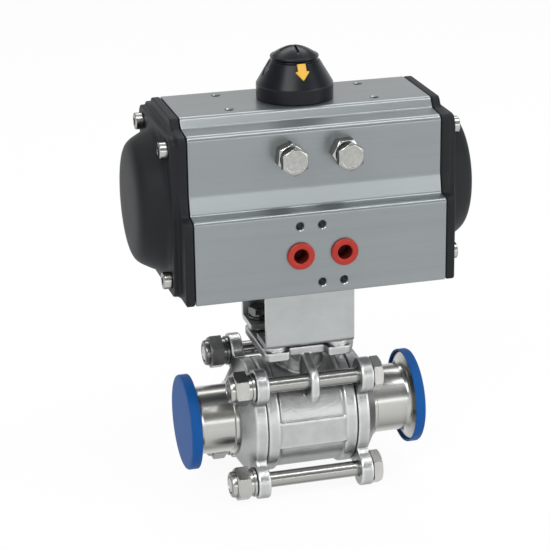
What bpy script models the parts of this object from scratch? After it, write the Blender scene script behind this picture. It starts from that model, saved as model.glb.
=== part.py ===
"""Pneumatic ball valve: a three-piece sanitary ball valve turned by a rack-and-pinion actuator.

Lengths are written in millimetres times MM. +Z is up, -Y is the front, the flow runs along X,
and the part stands on the lower ears of its end pieces. It is modelled closed: the indicator's
front arrow points to the front and the ball's bore lies across the flow.
"""
import math

import bmesh
import bpy
from mathutils import Vector

MM = 0.001

# Fits
GAP = 0.3 * MM                      # between two pieces that touch or run in each other
HIDDEN = 1.0 * MM                   # how far a fused or cutting shape runs past a face

WELD = 0.005 * MM                   # closes hairline seams where shapes were joined

# Valve: flow line
TUBE_RADIUS = 19.05 * MM            # 1 1/2 inch sanitary tube
TUBE_BORE = 17.8 * MM
FERRULE_RADIUS = 25.25 * MM         # 50.5 mm clamp ferrule
FERRULE_RIM = 2.85 * MM
FERRULE_TAPER = math.radians(20)
FERRULE_FILLET = 3.5 * MM
FACE_TO_FACE = 132.0 * MM
GROOVE_RADIUS = 21.75 * MM          # clamp gasket groove in the ferrule's face
GROOVE_DEPTH = 1.4 * MM
GROOVE_HALF_WIDTH = 1.6 * MM

# Valve: cast pieces
BALL_RADIUS = 26.0 * MM
BALL_PROUD = 0.3 * MM               # how far the ball reaches past the body's ends
BALL_CLEARANCE = 0.6 * MM           # round the ball in the body's cavity
BARREL_WALL = 4.1 * MM              # metal round the cavity
RIM_STEP = 1.7 * MM                 # the rims stand this far out of the barrel
RIM_WIDTH = 7.1 * MM
PANEL_HEIGHT = 15.2 * MM
PANEL_DROP = 1.8 * MM               # centre of the cast panel below the flow axis
PANEL_PROUD = 0.9 * MM
DISC_STEP = 0.1 * MM                # end piece's disc outside the body's rim
DISC_THICKNESS = 6.6 * MM
EAR_RADIUS = 10.0 * MM
EAR_THICKNESS = 7.4 * MM
EAR_FILLET = 4.0 * MM
EAR_RIM = 0.5 * MM                  # bolt seats stand this far inside the ears
EAR_SPACING = 56.8 * MM             # square pattern of the four body bolts
HUB_RADIUS = 22.6 * MM
HUB_LENGTH = 6.4 * MM               # from the flange disc to the hub's small end
HUB_COLLAR_RADIUS = 20.6 * MM
HUB_COLLAR_WIDTH = 2.2 * MM
END_BORE = 16.8 * MM

# Valve: mounting pad and lugs
PAD_LEVEL = 44.9 * MM               # top of the pad above the flow axis
PAD_END_MARGIN = 6.9 * MM           # pad's edge outside the bolt pattern, along the flow
PAD_SIDE_MARGIN = 6.6 * MM          # and across it
PAD_THICKNESS = 5.0 * MM
PAD_CORNER = 3.0 * MM
PAD_NOTCH_LENGTH = 20.0 * MM
PAD_NOTCH_DEPTH = 6.0 * MM
BOSS_RADIUS = 6.0 * MM
BOSS_HEIGHT = 2.9 * MM
NECK_RADIUS = 14.0 * MM
LUG_RADIUS = 8.6 * MM
LUG_THICKNESS = 5.0 * MM
LUG_DROP = 6.0 * MM
LUG_TOE = 2.6 * MM                  # slant at the foot of its front
WEB_HEIGHT = 7.0 * MM               # web between a lug and the pad
WEB_LEAN = 4.3 * MM                 # how far its front leans back on the way down

# Valve: moving pieces and seals
BALL_SLOT_WIDTH = 8.0 * MM
BALL_SLOT_DEPTH = 4.8 * MM
SEAT_WIDTH = 12.1 * MM
STEM_RADIUS = 6.0 * MM
STEM_COLLAR_RADIUS = 9.0 * MM
STEM_COLLAR_HEIGHT = 2.7 * MM
STEM_FLAT = 4.2 * MM                # half the width across the stem's flats
STEM_LENGTH_ABOVE_PAD = 19.7 * MM
TANG_LENGTH = 12.0 * MM
PACKING_HEIGHT = 6.7 * MM
FOLLOWER_HEIGHT = 1.4 * MM
GLAND_FLATS = 19.0 * MM
GLAND_HEIGHT = 5.8 * MM

# Body bolts and their lock nuts
ROD_RADIUS = 4.35 * MM
ROD_HEAD_FLATS = 17.0 * MM
ROD_HEAD_HEIGHT = 5.4 * MM
NUT_HEX_HEIGHT = 7.4 * MM
NUT_COLLAR_HEIGHT = 2.7 * MM
NUT_COLLAR_RADIUS = 7.3 * MM
ROD_WASHER_RADIUS = 8.3 * MM
ROD_WASHER_HEIGHT = 1.6 * MM
ROD_SPRING_RADIUS = 7.6 * MM
ROD_SPRING_HEIGHT = 2.2 * MM

# Dust caps
DUST_CAP_WALL = 1.2 * MM
DUST_CAP_FLOOR = 1.4 * MM
DUST_CAP_DEPTH = 4.5 * MM

# Bracket and its bolts
FLANGE_PATTERN = 35.4 * MM          # square pattern of the 50 mm bolt circle
BRACKET_END_MARGIN = 7.3 * MM       # bracket's edge outside the bolt pattern, along the flow
BRACKET_SIDE_MARGIN = 9.3 * MM      # and across it
BRACKET_HEIGHT = 39.2 * MM
SHEET = 3.0 * MM
LIP_GAP = 13.0 * MM
BEND_RADIUS = 3.6 * MM              # outer radius of the folds
LIP_HOLE_RADIUS = 12.5 * MM
TOP_HOLE_RADIUS = 15.0 * MM
M6_RADIUS = 2.95 * MM
M6_HEAD_FLATS = 10.0 * MM
M6_HEAD_HEIGHT = 4.0 * MM
M6_WASHER_RADIUS = 6.0 * MM
M6_WASHER_HEIGHT = 1.1 * MM
M6_SPRING_RADIUS = 4.8 * MM
M6_SPRING_HEIGHT = 1.3 * MM
M6_DEPTH = 7.0 * MM                 # how far the upper bolts reach into the actuator

# Coupling
COUPLING_RADIUS = 11.0 * MM
COUPLING_CLEARANCE = 2.5 * MM       # above the gland nut
SQUARE = 10.7 * MM
SQUARE_LENGTH = 10.4 * MM

# Actuator body
BODY_LENGTH = 137.7 * MM
BORE_RADIUS = 37.0 * MM
BORE_ROOF = 13.35 * MM              # metal over the bore
BORE_FLOOR = 7.45 * MM              # metal under it
FLANK_WALL = 3.35 * MM              # metal beside it
TOP_HALF_WIDTH = 23.3 * MM
STEP_HALF_WIDTH = 26.8 * MM
STEP_DEPTH = 5.2 * MM
SHOULDER_DEPTH = 6.2 * MM
FLARE_OUT = 2.25 * MM               # how far the front flank flares out towards the ledge
FLARE_SHARE = 0.513                 # flare's height as a share of the flank under the stop bolts
FLARE_ROUNDING = 0.6                # radius of the flare's start as a share of its height
LEDGE_LEVEL = 46.6 * MM             # ledge above the bottom face
PAD_STEP = 10.65 * MM               # solenoid pad in front of the flank

# Actuator ports and tapped holes
PORT_SPACING = 24.0 * MM
PORT_LEVEL = 22.4 * MM              # ports above the bottom face
PORT_RADIUS = 5.9 * MM
PORT_LENGTH = 12.0 * MM
PORT_DRILL_RADIUS = 2.4 * MM
M5_HOLE_RADIUS = 2.3 * MM
M5_HOLE_LENGTH = 9.0 * MM
SOLENOID_PITCH = 12.0 * MM
SOLENOID_ROW_DROP = 16.0 * MM       # each row of M5 holes above or below the ports
TOP_PATTERN_LENGTH = 80.0 * MM
TOP_PATTERN_WIDTH = 30.0 * MM

# Actuator end caps
COLLAR_THICKNESS = 5.0 * MM
CAP_FLANGE_THICKNESS = 3.6 * MM
CAP_FLANGE_SIDE_MARGIN = 0.95 * MM  # flange edge inside the body's flanks
CAP_FLANGE_CORNER = 6.0 * MM
CAP_FLANGE_MARGIN = 0.6 * MM        # flange edge inside the body's outline, above and below
CAP_EDGE = 1.2 * MM
DOME_HEIGHT = 15.8 * MM
DOME_SIDE_MARGIN = 3.8 * MM         # dome's foot inside the flange
DOME_MARGIN = 4.7 * MM              # and inside it above and below
SPIGOT_STEP = 3.5 * MM              # spigot's radius inside the bore's
SPIGOT_LENGTH = 3.2 * MM
CAP_SCREW_SIDE_INSET = 9.4 * MM     # screws inside the flange's edge
CAP_SCREW_INSET = 8.05 * MM         # and inside it above and below
CAP_SCREW_HEAD_RADIUS = 4.6 * MM
CAP_SCREW_HEAD_HEIGHT = 4.5 * MM
CAP_SCREW_RADIUS = 2.5 * MM
CAP_SCREW_GRIP = 14.0 * MM
CAP_SCREW_SOCKET = 4.2 * MM         # across the flats
CAP_SCREW_SOCKET_DEPTH = 2.6 * MM
POCKET_RADIUS = 6.6 * MM
POCKET_SINK = 0.4 * MM

# Rack and pinion
TOOTH_MODULE = 1.5 * MM
PINION_TEETH = 16
PRESSURE_ANGLE = math.radians(20)
ADDENDUM = 1.2 * MM
ROOT_CLEARANCE = 0.35 * MM
BACKLASH = 0.3 * MM
RACK_TEETH = 7
RACK_HEIGHT = 18.0 * MM
PINION_TOOTH_HEIGHT = 21.0 * MM
PISTON_CROWN = 14.0 * MM
ARM_ROOT = 2.5 * MM                 # how deep the rack arm is joined into the crown
PISTON_GROOVE_WIDTH = 4.4 * MM
PISTON_GROOVE_DEPTH = 2.6 * MM
TOP_JOURNAL_RADIUS = 8.0 * MM
BOTTOM_JOURNAL_RADIUS = 12.0 * MM
BUSH_WALL = 1.7 * MM
PINION_NECK_RADIUS = 10.0 * MM
CAM_SEAT_RADIUS = 9.5 * MM
CAM_SEAT_FLAT = 8.3 * MM
SPINDLE_RADIUS = 7.1 * MM
SPINDLE_FLAT = 5.6 * MM
SPINDLE_LENGTH = 16.0 * MM

# Travel stops
STOP_SPACING = 30.0 * MM
STOP_DEPTH = 20.2 * MM              # stop bolts below the top face
CAM_THICKNESS = 4.0 * MM
CAM_CLEARANCE = 0.8 * MM            # between the cam's tips and the bore over them
CAM_FACE = 9.0 * MM                 # stop faces from the pinion's axis
CAM_CORNER = 2.0 * MM
STOP_RADIUS = 3.9 * MM
STOP_NUT_FLATS = 14.0 * MM
STOP_NUT_HEIGHT = 6.5 * MM
STOP_FREE_LENGTH = 2.5 * MM         # thread showing between lock nut and head
STOP_HEAD_FLATS = 13.5 * MM
STOP_HEAD_HEIGHT = 4.8 * MM

# Port plugs
PLUG_FLANGE_RADIUS = 7.4 * MM
PLUG_FLANGE_HEIGHT = 1.6 * MM
PLUG_LENGTH = 9.0 * MM
PLUG_HOLE_RADIUS = 4.0 * MM
PLUG_WALL = 1.6 * MM

# Position indicator
INDICATOR_RADIUS = 20.8 * MM
INDICATOR_SKIRT = 7.9 * MM
INDICATOR_NECK_RADIUS = 13.5 * MM
INDICATOR_NECK_LEVEL = 20.2 * MM
INDICATOR_ROOF = 21.0 * MM
SKIRT_WALL = 2.2 * MM
CAP_DISC_RADIUS = 13.1 * MM
CAP_DISC_EDGE = 1.0 * MM
CAP_DISC_HEIGHT = 6.7 * MM
CAP_DISC_SWELL = 1.8                # 1 would make its top a cone, 2 a paraboloid
CAP_STALK_RADIUS = 3.0 * MM
CAP_SLOT_WIDTH = 1.4 * MM
CAP_SLOT_DEPTH = 2.6 * MM
ARROW_LEVEL = 16.8 * MM              # middle of the arrow above the actuator
ARROW_LENGTH = 9.4 * MM
ARROW_HEAD_LENGTH = 5.2 * MM
ARROW_HEAD_WIDTH = 8.2 * MM
ARROW_TAIL_WIDTH = 4.6 * MM
ARROW_THICKNESS = 1.4 * MM
ARROW_PROUD = 0.35 * MM

# Facets of round pieces
FINE_STEPS = 28
ROUND_STEPS = 24
MEDIUM_STEPS = 20
COARSE_STEPS = 10
SMALL_STEPS = 8

# Valve body around the ball
BODY_HALF_LENGTH = BALL_RADIUS - BALL_PROUD
CAVITY_RADIUS = BALL_RADIUS + BALL_CLEARANCE
BARREL_RADIUS = CAVITY_RADIUS + BARREL_WALL
RIM_RADIUS = BARREL_RADIUS + RIM_STEP
DISC_RADIUS = RIM_RADIUS + DISC_STEP
BALL_BORE = END_BORE - GAP

# Bracket and pad around the bolt pattern
BRACKET_LENGTH = FLANGE_PATTERN + 2 * BRACKET_END_MARGIN
BRACKET_WIDTH = FLANGE_PATTERN + 2 * BRACKET_SIDE_MARGIN
PAD_LENGTH = FLANGE_PATTERN + 2 * PAD_END_MARGIN
PAD_WIDTH = FLANGE_PATTERN + 2 * PAD_SIDE_MARGIN

# Actuator section around its bore
BODY_HEIGHT = 2 * BORE_RADIUS + BORE_ROOF + BORE_FLOOR
BORE_DEPTH = BORE_ROOF + BORE_RADIUS
FLANK_HALF_WIDTH = BORE_RADIUS + FLANK_WALL
PAD_FRONT = FLANK_HALF_WIDTH + PAD_STEP
LEDGE_DEPTH = BODY_HEIGHT - LEDGE_LEVEL
STOP_NUT_FOOT = STOP_DEPTH + STOP_NUT_FLATS / math.sqrt(3)
FLARE_HEIGHT = (LEDGE_DEPTH - STOP_NUT_FOOT) * FLARE_SHARE
SPIGOT_RADIUS = BORE_RADIUS - SPIGOT_STEP
CAP_FLANGE_HALF_WIDTH = FLANK_HALF_WIDTH - CAP_FLANGE_SIDE_MARGIN
CAP_FLANGE_HALF_HEIGHT = (BODY_HEIGHT - SHOULDER_DEPTH) / 2 - CAP_FLANGE_MARGIN
DOME_HALF_WIDTH = CAP_FLANGE_HALF_WIDTH - DOME_SIDE_MARGIN
DOME_HALF_HEIGHT = CAP_FLANGE_HALF_HEIGHT - DOME_MARGIN
CAP_SCREW_SPREAD_Y = 2 * (CAP_FLANGE_HALF_WIDTH - CAP_SCREW_SIDE_INSET)
CAP_SCREW_SPREAD_Z = 2 * (CAP_FLANGE_HALF_HEIGHT - CAP_SCREW_INSET)

# Levels above the floor
FLOW_Z = EAR_SPACING / 2 + EAR_RADIUS
PAD_TOP = FLOW_Z + PAD_LEVEL
LIP_BOTTOM = PAD_TOP + BOSS_HEIGHT + GAP
BRACKET_TOP = LIP_BOTTOM + BRACKET_HEIGHT
ACTUATOR_BOTTOM = BRACKET_TOP + GAP
ACTUATOR_TOP = ACTUATOR_BOTTOM + BODY_HEIGHT
BORE_Z = ACTUATOR_TOP - BORE_DEPTH
STOP_Z = ACTUATOR_TOP - STOP_DEPTH
PORT_Z = ACTUATOR_BOTTOM + PORT_LEVEL

# Places along the flow
END_PIECE_FACE = BODY_HALF_LENGTH + GAP
EAR_FACE = END_PIECE_FACE + EAR_THICKNESS
FERRULE_FACE = FACE_TO_FACE / 2

# Places along the actuator
BODY_END = BODY_LENGTH / 2
COLLAR_START = BODY_END + GAP
COLLAR_END = COLLAR_START + COLLAR_THICKNESS
CAP_FACE = COLLAR_END + CAP_FLANGE_THICKNESS

# Rack-and-pinion places
PITCH_RADIUS = TOOTH_MODULE * PINION_TEETH / 2
TIP_RADIUS = PITCH_RADIUS + ADDENDUM
TOOTH_PITCH = math.pi * TOOTH_MODULE
STROKE = PITCH_RADIUS * math.pi / 2
RACK_ROOT = PITCH_RADIUS + ADDENDUM + ROOT_CLEARANCE
RACK_END = (RACK_TEETH - 2) * TOOTH_PITCH
CROWN_INNER = RACK_END + 2 * MM
PISTON_RADIUS = BORE_RADIUS - 0.5 * MM
CAM_RISE = STOP_Z + CAM_THICKNESS / 2 - BORE_Z
CAM_RADIUS = math.sqrt(BORE_RADIUS ** 2 - CAM_RISE ** 2) - CAM_CLEARANCE

# Front and back reach from the stem axis, and the axis's place over the middle of the footprint
STOP_NUT_FACE = FLANK_HALF_WIDTH + GAP + STOP_NUT_HEIGHT
STOP_HEAD_SEAT = STOP_NUT_FACE + STOP_FREE_LENGTH
FRONT_REACH = STOP_HEAD_SEAT + STOP_HEAD_HEIGHT
BACK_REACH = FLANK_HALF_WIDTH
STEM_Y = (FRONT_REACH - BACK_REACH) / 2

# Turns that lay a shape drawn about local Z along another axis
ALONG_X = (0, math.pi / 2, 0)
ALONG_MINUS_X = (0, -math.pi / 2, 0)
TO_FRONT = (math.pi / 2, 0, 0)
SECTION = (math.pi / 2, 0, math.pi / 2)   # local x, y, z become world y, z, x

# Finishes: colour, roughness, metallic
ANODISED = ((0.50, 0.52, 0.53), 0.38, 1.0)
BLACK_CAST = ((0.030, 0.031, 0.034), 0.55, 0.0)
BLACK_PLASTIC = ((0.015, 0.016, 0.019), 0.35, 0.0)
YELLOW_PLASTIC = ((0.85, 0.50, 0.05), 0.40, 0.0)
RED_PLASTIC = ((0.62, 0.03, 0.02), 0.35, 0.0)
BLUE_PLASTIC = ((0.02, 0.10, 0.42), 0.40, 0.0)
SHEET_STEEL = ((0.62, 0.63, 0.63), 0.35, 1.0)
CAST_STEEL = ((0.55, 0.55, 0.54), 0.42, 1.0)
POLISHED_STEEL = ((0.68, 0.67, 0.64), 0.15, 1.0)
PLATED_STEEL = ((0.45, 0.45, 0.45), 0.30, 1.0)
SEAT_PLASTIC = ((0.85, 0.85, 0.82), 0.45, 0.0)
SEAL_RUBBER = ((0.02, 0.02, 0.02), 0.70, 0.0)
BUSH_PLASTIC = ((0.75, 0.70, 0.55), 0.50, 0.0)

for old in list(bpy.data.objects):
    bpy.data.objects.remove(old, do_unlink=True)

parts = bpy.data.collections.new("pneumatic_ball_valve")
cutters = bpy.data.collections.new("cutters")
bpy.context.scene.collection.children.link(parts)
bpy.context.scene.collection.children.link(cutters)

stem_axis = bpy.data.objects.new("stem_axis", None)
stem_axis.location = (0, STEM_Y, 0)
parts.objects.link(stem_axis)


# Tools

def set_down(name, data, at, turn):
    """Put mesh or curve data at a place measured from the foot of the stem axis."""
    thing = bpy.data.objects.new(name, data)
    thing.parent = stem_axis
    thing.location = at
    thing.rotation_euler = turn
    parts.objects.link(thing)
    return thing


def turned(name, profile, steps, at=(0, 0, 0), turn=(0, 0, 0)):
    """Turn a profile of (radius, height) points, listed down its outer side, about local Z."""
    mesh = bpy.data.meshes.new(name)
    shape = bmesh.new()
    points = [shape.verts.new((radius, 0, height)) for radius, height in profile]
    for first, second in zip(points, points[1:]):
        shape.edges.new((first, second))
    if profile[0][0] > 0 or profile[-1][0] > 0:
        shape.edges.new((points[-1], points[0]))
    shape.to_mesh(mesh)
    shape.free()
    thing = set_down(name, mesh, at, turn)
    screw = thing.modifiers.new("turn", "SCREW")
    screw.axis = "Z"
    screw.steps = steps
    screw.render_steps = steps
    screw.use_merge_vertices = True
    screw.merge_threshold = 0.00001
    return thing


def ring(name, outer, inner, low, high, steps, at=(0, 0, 0), turn=(0, 0, 0)):
    """A plain ring about local Z."""
    profile = [(outer, high), (outer, low), (inner, low), (inner, high)]
    return turned(name, profile, steps, at, turn)


def disc(name, radius, low, high, steps, at=(0, 0, 0), turn=(0, 0, 0)):
    """A plain cylinder about local Z."""
    return turned(name, [(0, high), (radius, high), (radius, low), (0, low)], steps, at, turn)


def flat(name, outlines, low, high, at=(0, 0, 0), turn=(0, 0, 0)):
    """Extrude a filled 2D outline, with any holes in it, from low to high along local Z."""
    curve = bpy.data.curves.new(name, "CURVE")
    curve.dimensions = "2D"
    curve.fill_mode = "BOTH"
    curve.extrude = (high - low) / 2
    for outline in outlines:
        spline = curve.splines.new("POLY")
        spline.points.add(len(outline) - 1)
        for point, (x, y) in zip(spline.points, outline):
            point.co = (x, y, 0, 1)
        spline.use_cyclic_u = True
    drawn = bpy.data.objects.new(name + "_outline", curve)
    bpy.context.scene.collection.objects.link(drawn)
    scene_state = bpy.context.evaluated_depsgraph_get()
    mesh = bpy.data.meshes.new_from_object(drawn.evaluated_get(scene_state))
    bpy.data.objects.remove(drawn)
    shape = bmesh.new()
    shape.from_mesh(mesh)
    bmesh.ops.remove_doubles(shape, verts=shape.verts, dist=0.000001)
    bmesh.ops.dissolve_limit(shape, angle_limit=0.001, verts=shape.verts, edges=shape.edges)
    bmesh.ops.translate(shape, verts=shape.verts, vec=(0, 0, (high + low) / 2))
    bmesh.ops.recalc_face_normals(shape, faces=shape.faces)
    shape.to_mesh(mesh)
    shape.free()
    mesh.materials.clear()
    return set_down(name, mesh, at, turn)


def block(name, low, high, at=(0, 0, 0), turn=(0, 0, 0)):
    """A box between two corners."""
    mesh = bpy.data.meshes.new(name)
    shape = bmesh.new()
    bmesh.ops.create_cube(shape, size=1)
    for vert in shape.verts:
        for axis in range(3):
            vert.co[axis] = high[axis] if vert.co[axis] > 0 else low[axis]
    shape.to_mesh(mesh)
    shape.free()
    return set_down(name, mesh, at, turn)


def prism(name, flats, low, high, sides=6, at=(0, 0, 0), turn=(0, 0, 0), edge=0.0):
    """A regular prism about local Z, measured across its flats, with its top edge eased."""
    mesh = bpy.data.meshes.new(name)
    shape = bmesh.new()
    corner = flats / 2 / math.cos(math.pi / sides)
    bmesh.ops.create_cone(
        shape, cap_ends=True, segments=sides, radius1=corner, radius2=corner, depth=high - low)
    bmesh.ops.translate(shape, verts=shape.verts, vec=(0, 0, (high + low) / 2))
    if edge:
        rim = [e for e in shape.edges if all(v.co.z > high - MM / 100 for v in e.verts)]
        bmesh.ops.bevel(shape, geom=rim, offset=edge, segments=1, affect="EDGES")
    shape.to_mesh(mesh)
    shape.free()
    return set_down(name, mesh, at, turn)


def combine(thing, other, operation):
    """Join, cut or intersect with another shape, which is then only a guide."""
    step = thing.modifiers.new(other.name, "BOOLEAN")
    step.operation = operation
    step.object = other
    other.hide_render = True
    other.display_type = "WIRE"
    if other.name in parts.objects:
        parts.objects.unlink(other)
        cutters.objects.link(other)


def fuse(thing, *others):
    for other in others:
        combine(thing, other, "UNION")


def cut(thing, *others):
    for other in others:
        combine(thing, other, "DIFFERENCE")


def drill(thing, name, radius, low, high, steps, at, turn=(0, 0, 0)):
    """Cut a round hole along local Z."""
    cut(thing, disc(name, radius, low, high, steps, at, turn))


def finish(thing, look):
    """Give a piece its own material."""
    colour, roughness, metallic = look
    material = bpy.data.materials.new(thing.name)
    material.use_nodes = True
    shader = material.node_tree.nodes["Principled BSDF"]
    shader.inputs["Base Color"].default_value = (*colour, 1)
    shader.inputs["Roughness"].default_value = roughness
    shader.inputs["Metallic"].default_value = metallic
    material.diffuse_color = (*colour, 1)
    thing.data.materials.clear()
    thing.data.materials.append(material)
    if any(step.type == "BOOLEAN" for step in thing.modifiers):
        weld = thing.modifiers.new("weld", "WELD")
        weld.merge_threshold = WELD
    return thing


def arc(centre, radius, start, end, steps):
    """Points of an arc between two angles, ends included."""
    turn = (end - start) / steps
    angles = [start + turn * i for i in range(steps + 1)]
    return [(centre[0] + radius * math.cos(a), centre[1] + radius * math.sin(a)) for a in angles]


def circle(radius, steps, centre=(0, 0)):
    return arc(centre, radius, 0, 2 * math.pi, steps)[:-1]


def rounded_corner(before, corner, after, radius, steps=2):
    """Points of the arc that rounds the corner between two neighbours of an outline."""
    here = Vector(corner)
    back = (Vector(before) - here).normalized()
    ahead = (Vector(after) - here).normalized()
    half = back.angle(ahead) / 2
    centre = here + (back + ahead).normalized() * radius / math.sin(half)
    start = here + back * radius / math.tan(half) - centre
    end = here + ahead * radius / math.tan(half) - centre
    first = math.atan2(start.y, start.x)
    sweep = (math.atan2(end.y, end.x) - first + math.pi) % (2 * math.pi) - math.pi
    return arc(centre, radius, first, first + sweep, steps)


def softened(corners, steps=2):
    """Turn corners given as (x, y, radius) into an outline whose corners are arcs."""
    outline = []
    for i, (x, y, radius) in enumerate(corners):
        before = corners[i - 1][:2]
        after = corners[(i + 1) % len(corners)][:2]
        outline += rounded_corner(before, (x, y), after, radius, steps)
    return outline


def rounded_box(half_x, half_y, radius, steps=3, centre=(0, 0)):
    corners = [(half_x, half_y), (-half_x, half_y), (-half_x, -half_y), (half_x, -half_y)]
    return softened([(centre[0] + x, centre[1] + y, radius) for x, y in corners], steps)


def double_d(radius, flat_half, steps=4):
    """A circle with two flats across local Y."""
    lean = math.asin(flat_half / radius)
    right = arc((0, 0), radius, -lean, lean, steps)
    left = arc((0, 0), radius, math.pi - lean, math.pi + lean, steps)
    return right + left


def sides():
    """The left and right side: name and direction along X."""
    return (("left", -1), ("right", 1))


def corners_of(length, width):
    """The four corners of a bolt pattern, in a fixed order."""
    return [(x * length / 2, y * width / 2) for x, y in ((-1, -1), (1, -1), (1, 1), (-1, 1))]


# Actuator housing

def body_section():
    """Outline of the actuator's extrusion as (y, z), from the top back edge round to the top front."""
    top = ACTUATOR_TOP
    back = [
        (FLANK_HALF_WIDTH, ACTUATOR_BOTTOM, 1.5 * MM),
        (FLANK_HALF_WIDTH, top - SHOULDER_DEPTH, 1.8 * MM),
        (STEP_HALF_WIDTH, top - STEP_DEPTH, 1.2 * MM),
        (TOP_HALF_WIDTH, top, 1.4 * MM),
    ]
    front = [
        (-TOP_HALF_WIDTH, top, 1.4 * MM),
        (-STEP_HALF_WIDTH, top - STEP_DEPTH, 1.2 * MM),
        (-FLANK_HALF_WIDTH, top - SHOULDER_DEPTH, 1.8 * MM),
        (-FLANK_HALF_WIDTH, top - LEDGE_DEPTH + FLARE_HEIGHT, FLARE_HEIGHT * FLARE_ROUNDING),
        (-FLANK_HALF_WIDTH - FLARE_OUT, top - LEDGE_DEPTH, 1.2 * MM),
        (-PAD_FRONT, top - LEDGE_DEPTH - 0.6 * MM, 1.6 * MM),
        (-PAD_FRONT, ACTUATOR_BOTTOM, 1.2 * MM),
    ]
    return softened(back + front)


def make_actuator_body():
    body = flat("actuator_body", [body_section()], -BODY_END, BODY_END, turn=SECTION)
    reach = BODY_END + HIDDEN
    drill(body, "bore", BORE_RADIUS, -reach, reach, FINE_STEPS, (0, 0, BORE_Z), ALONG_X)
    top_hole = TOP_JOURNAL_RADIUS + 2 * GAP + BUSH_WALL
    bottom_hole = BOTTOM_JOURNAL_RADIUS + 2 * GAP + BUSH_WALL
    drill(body, "top_shaft_hole", top_hole, BORE_Z, ACTUATOR_TOP + HIDDEN, MEDIUM_STEPS, (0, 0, 0))
    drill(body, "bottom_shaft_hole", bottom_hole, ACTUATOR_BOTTOM - HIDDEN, BORE_Z, MEDIUM_STEPS, (0, 0, 0))
    for name, side in sides():
        x = side * PORT_SPACING / 2
        wall = (x, -PAD_FRONT, PORT_Z)
        drill(body, f"{name}_port", PORT_RADIUS, -PORT_LENGTH, HIDDEN, COARSE_STEPS, wall, TO_FRONT)
        for number, (y, z) in enumerate(corners_of(CAP_SCREW_SPREAD_Y, CAP_SCREW_SPREAD_Z), 1):
            end = (side * BODY_END, y, BORE_Z + z)
            turn = ALONG_X if side > 0 else ALONG_MINUS_X
            reach = CAP_SCREW_GRIP + HIDDEN
            radius = CAP_SCREW_RADIUS + GAP
            drill(body, f"{name}_screw_hole_{number}", radius, -reach, HIDDEN, SMALL_STEPS, end, turn)
        stop = (side * STOP_SPACING / 2, -FLANK_HALF_WIDTH, STOP_Z)
        inward = FLANK_HALF_WIDTH - CAM_FACE
        drill(body, f"{name}_stop_hole", STOP_RADIUS + GAP, -inward, HIDDEN, SMALL_STEPS, stop, TO_FRONT)
    air_way = (-PORT_SPACING / 2, -PAD_FRONT, PORT_Z)
    reach = PAD_FRONT - BORE_RADIUS / 2
    drill(body, "air_way", PORT_DRILL_RADIUS, -reach, -HIDDEN, SMALL_STEPS, air_way, TO_FRONT)
    high = PORT_Z + SOLENOID_ROW_DROP
    low = PORT_Z - SOLENOID_ROW_DROP
    tapped = [(-SOLENOID_PITCH, high), (0, high), (0, low), (SOLENOID_PITCH, low)]
    for number, (x, z) in enumerate(tapped, 1):
        wall = (x, -PAD_FRONT, z)
        name = f"solenoid_hole_{number}"
        drill(body, name, M5_HOLE_RADIUS, -M5_HOLE_LENGTH, HIDDEN, SMALL_STEPS, wall, TO_FRONT)
    for number, (x, y) in enumerate(corners_of(TOP_PATTERN_LENGTH, TOP_PATTERN_WIDTH), 1):
        top = (x, y, ACTUATOR_TOP)
        drill(body, f"accessory_hole_{number}", M5_HOLE_RADIUS, -M5_HOLE_LENGTH, HIDDEN, SMALL_STEPS, top)
    for number, (x, y) in enumerate(corners_of(FLANGE_PATTERN, FLANGE_PATTERN), 1):
        foot = (x, y, ACTUATOR_BOTTOM)
        drill(body, f"flange_hole_{number}", M6_RADIUS + GAP, -HIDDEN, M6_DEPTH + HIDDEN, SMALL_STEPS, foot)
    return finish(body, ANODISED)


def make_dome(name, side):
    """The end cap's dome, turned from its profile and stretched upright into an oval."""
    profile = [(0, DOME_HEIGHT)]
    levels = ((1.00, 0.50), (0.97, 0.69), (0.92, 0.775), (0.82, 0.83), (0.62, 0.89), (0.34, 0.95))
    for height, share in levels:
        profile.append((DOME_HALF_WIDTH * share, DOME_HEIGHT * height))
    profile += [(DOME_HALF_WIDTH, -HIDDEN), (0, -HIDDEN)]
    turn = ALONG_X if side > 0 else ALONG_MINUS_X
    dome = turned(name, profile, FINE_STEPS, (side * CAP_FACE, 0, BORE_Z), turn)
    dome.scale.x = DOME_HALF_HEIGHT / DOME_HALF_WIDTH
    return dome


def ease_edges(thing, width):
    """Chamfer a piece's sharp edges."""
    bevel = thing.modifiers.new("eased edges", "BEVEL")
    bevel.width = width
    bevel.segments = 1
    bevel.limit_method = "ANGLE"
    bevel.angle_limit = math.radians(50)


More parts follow.
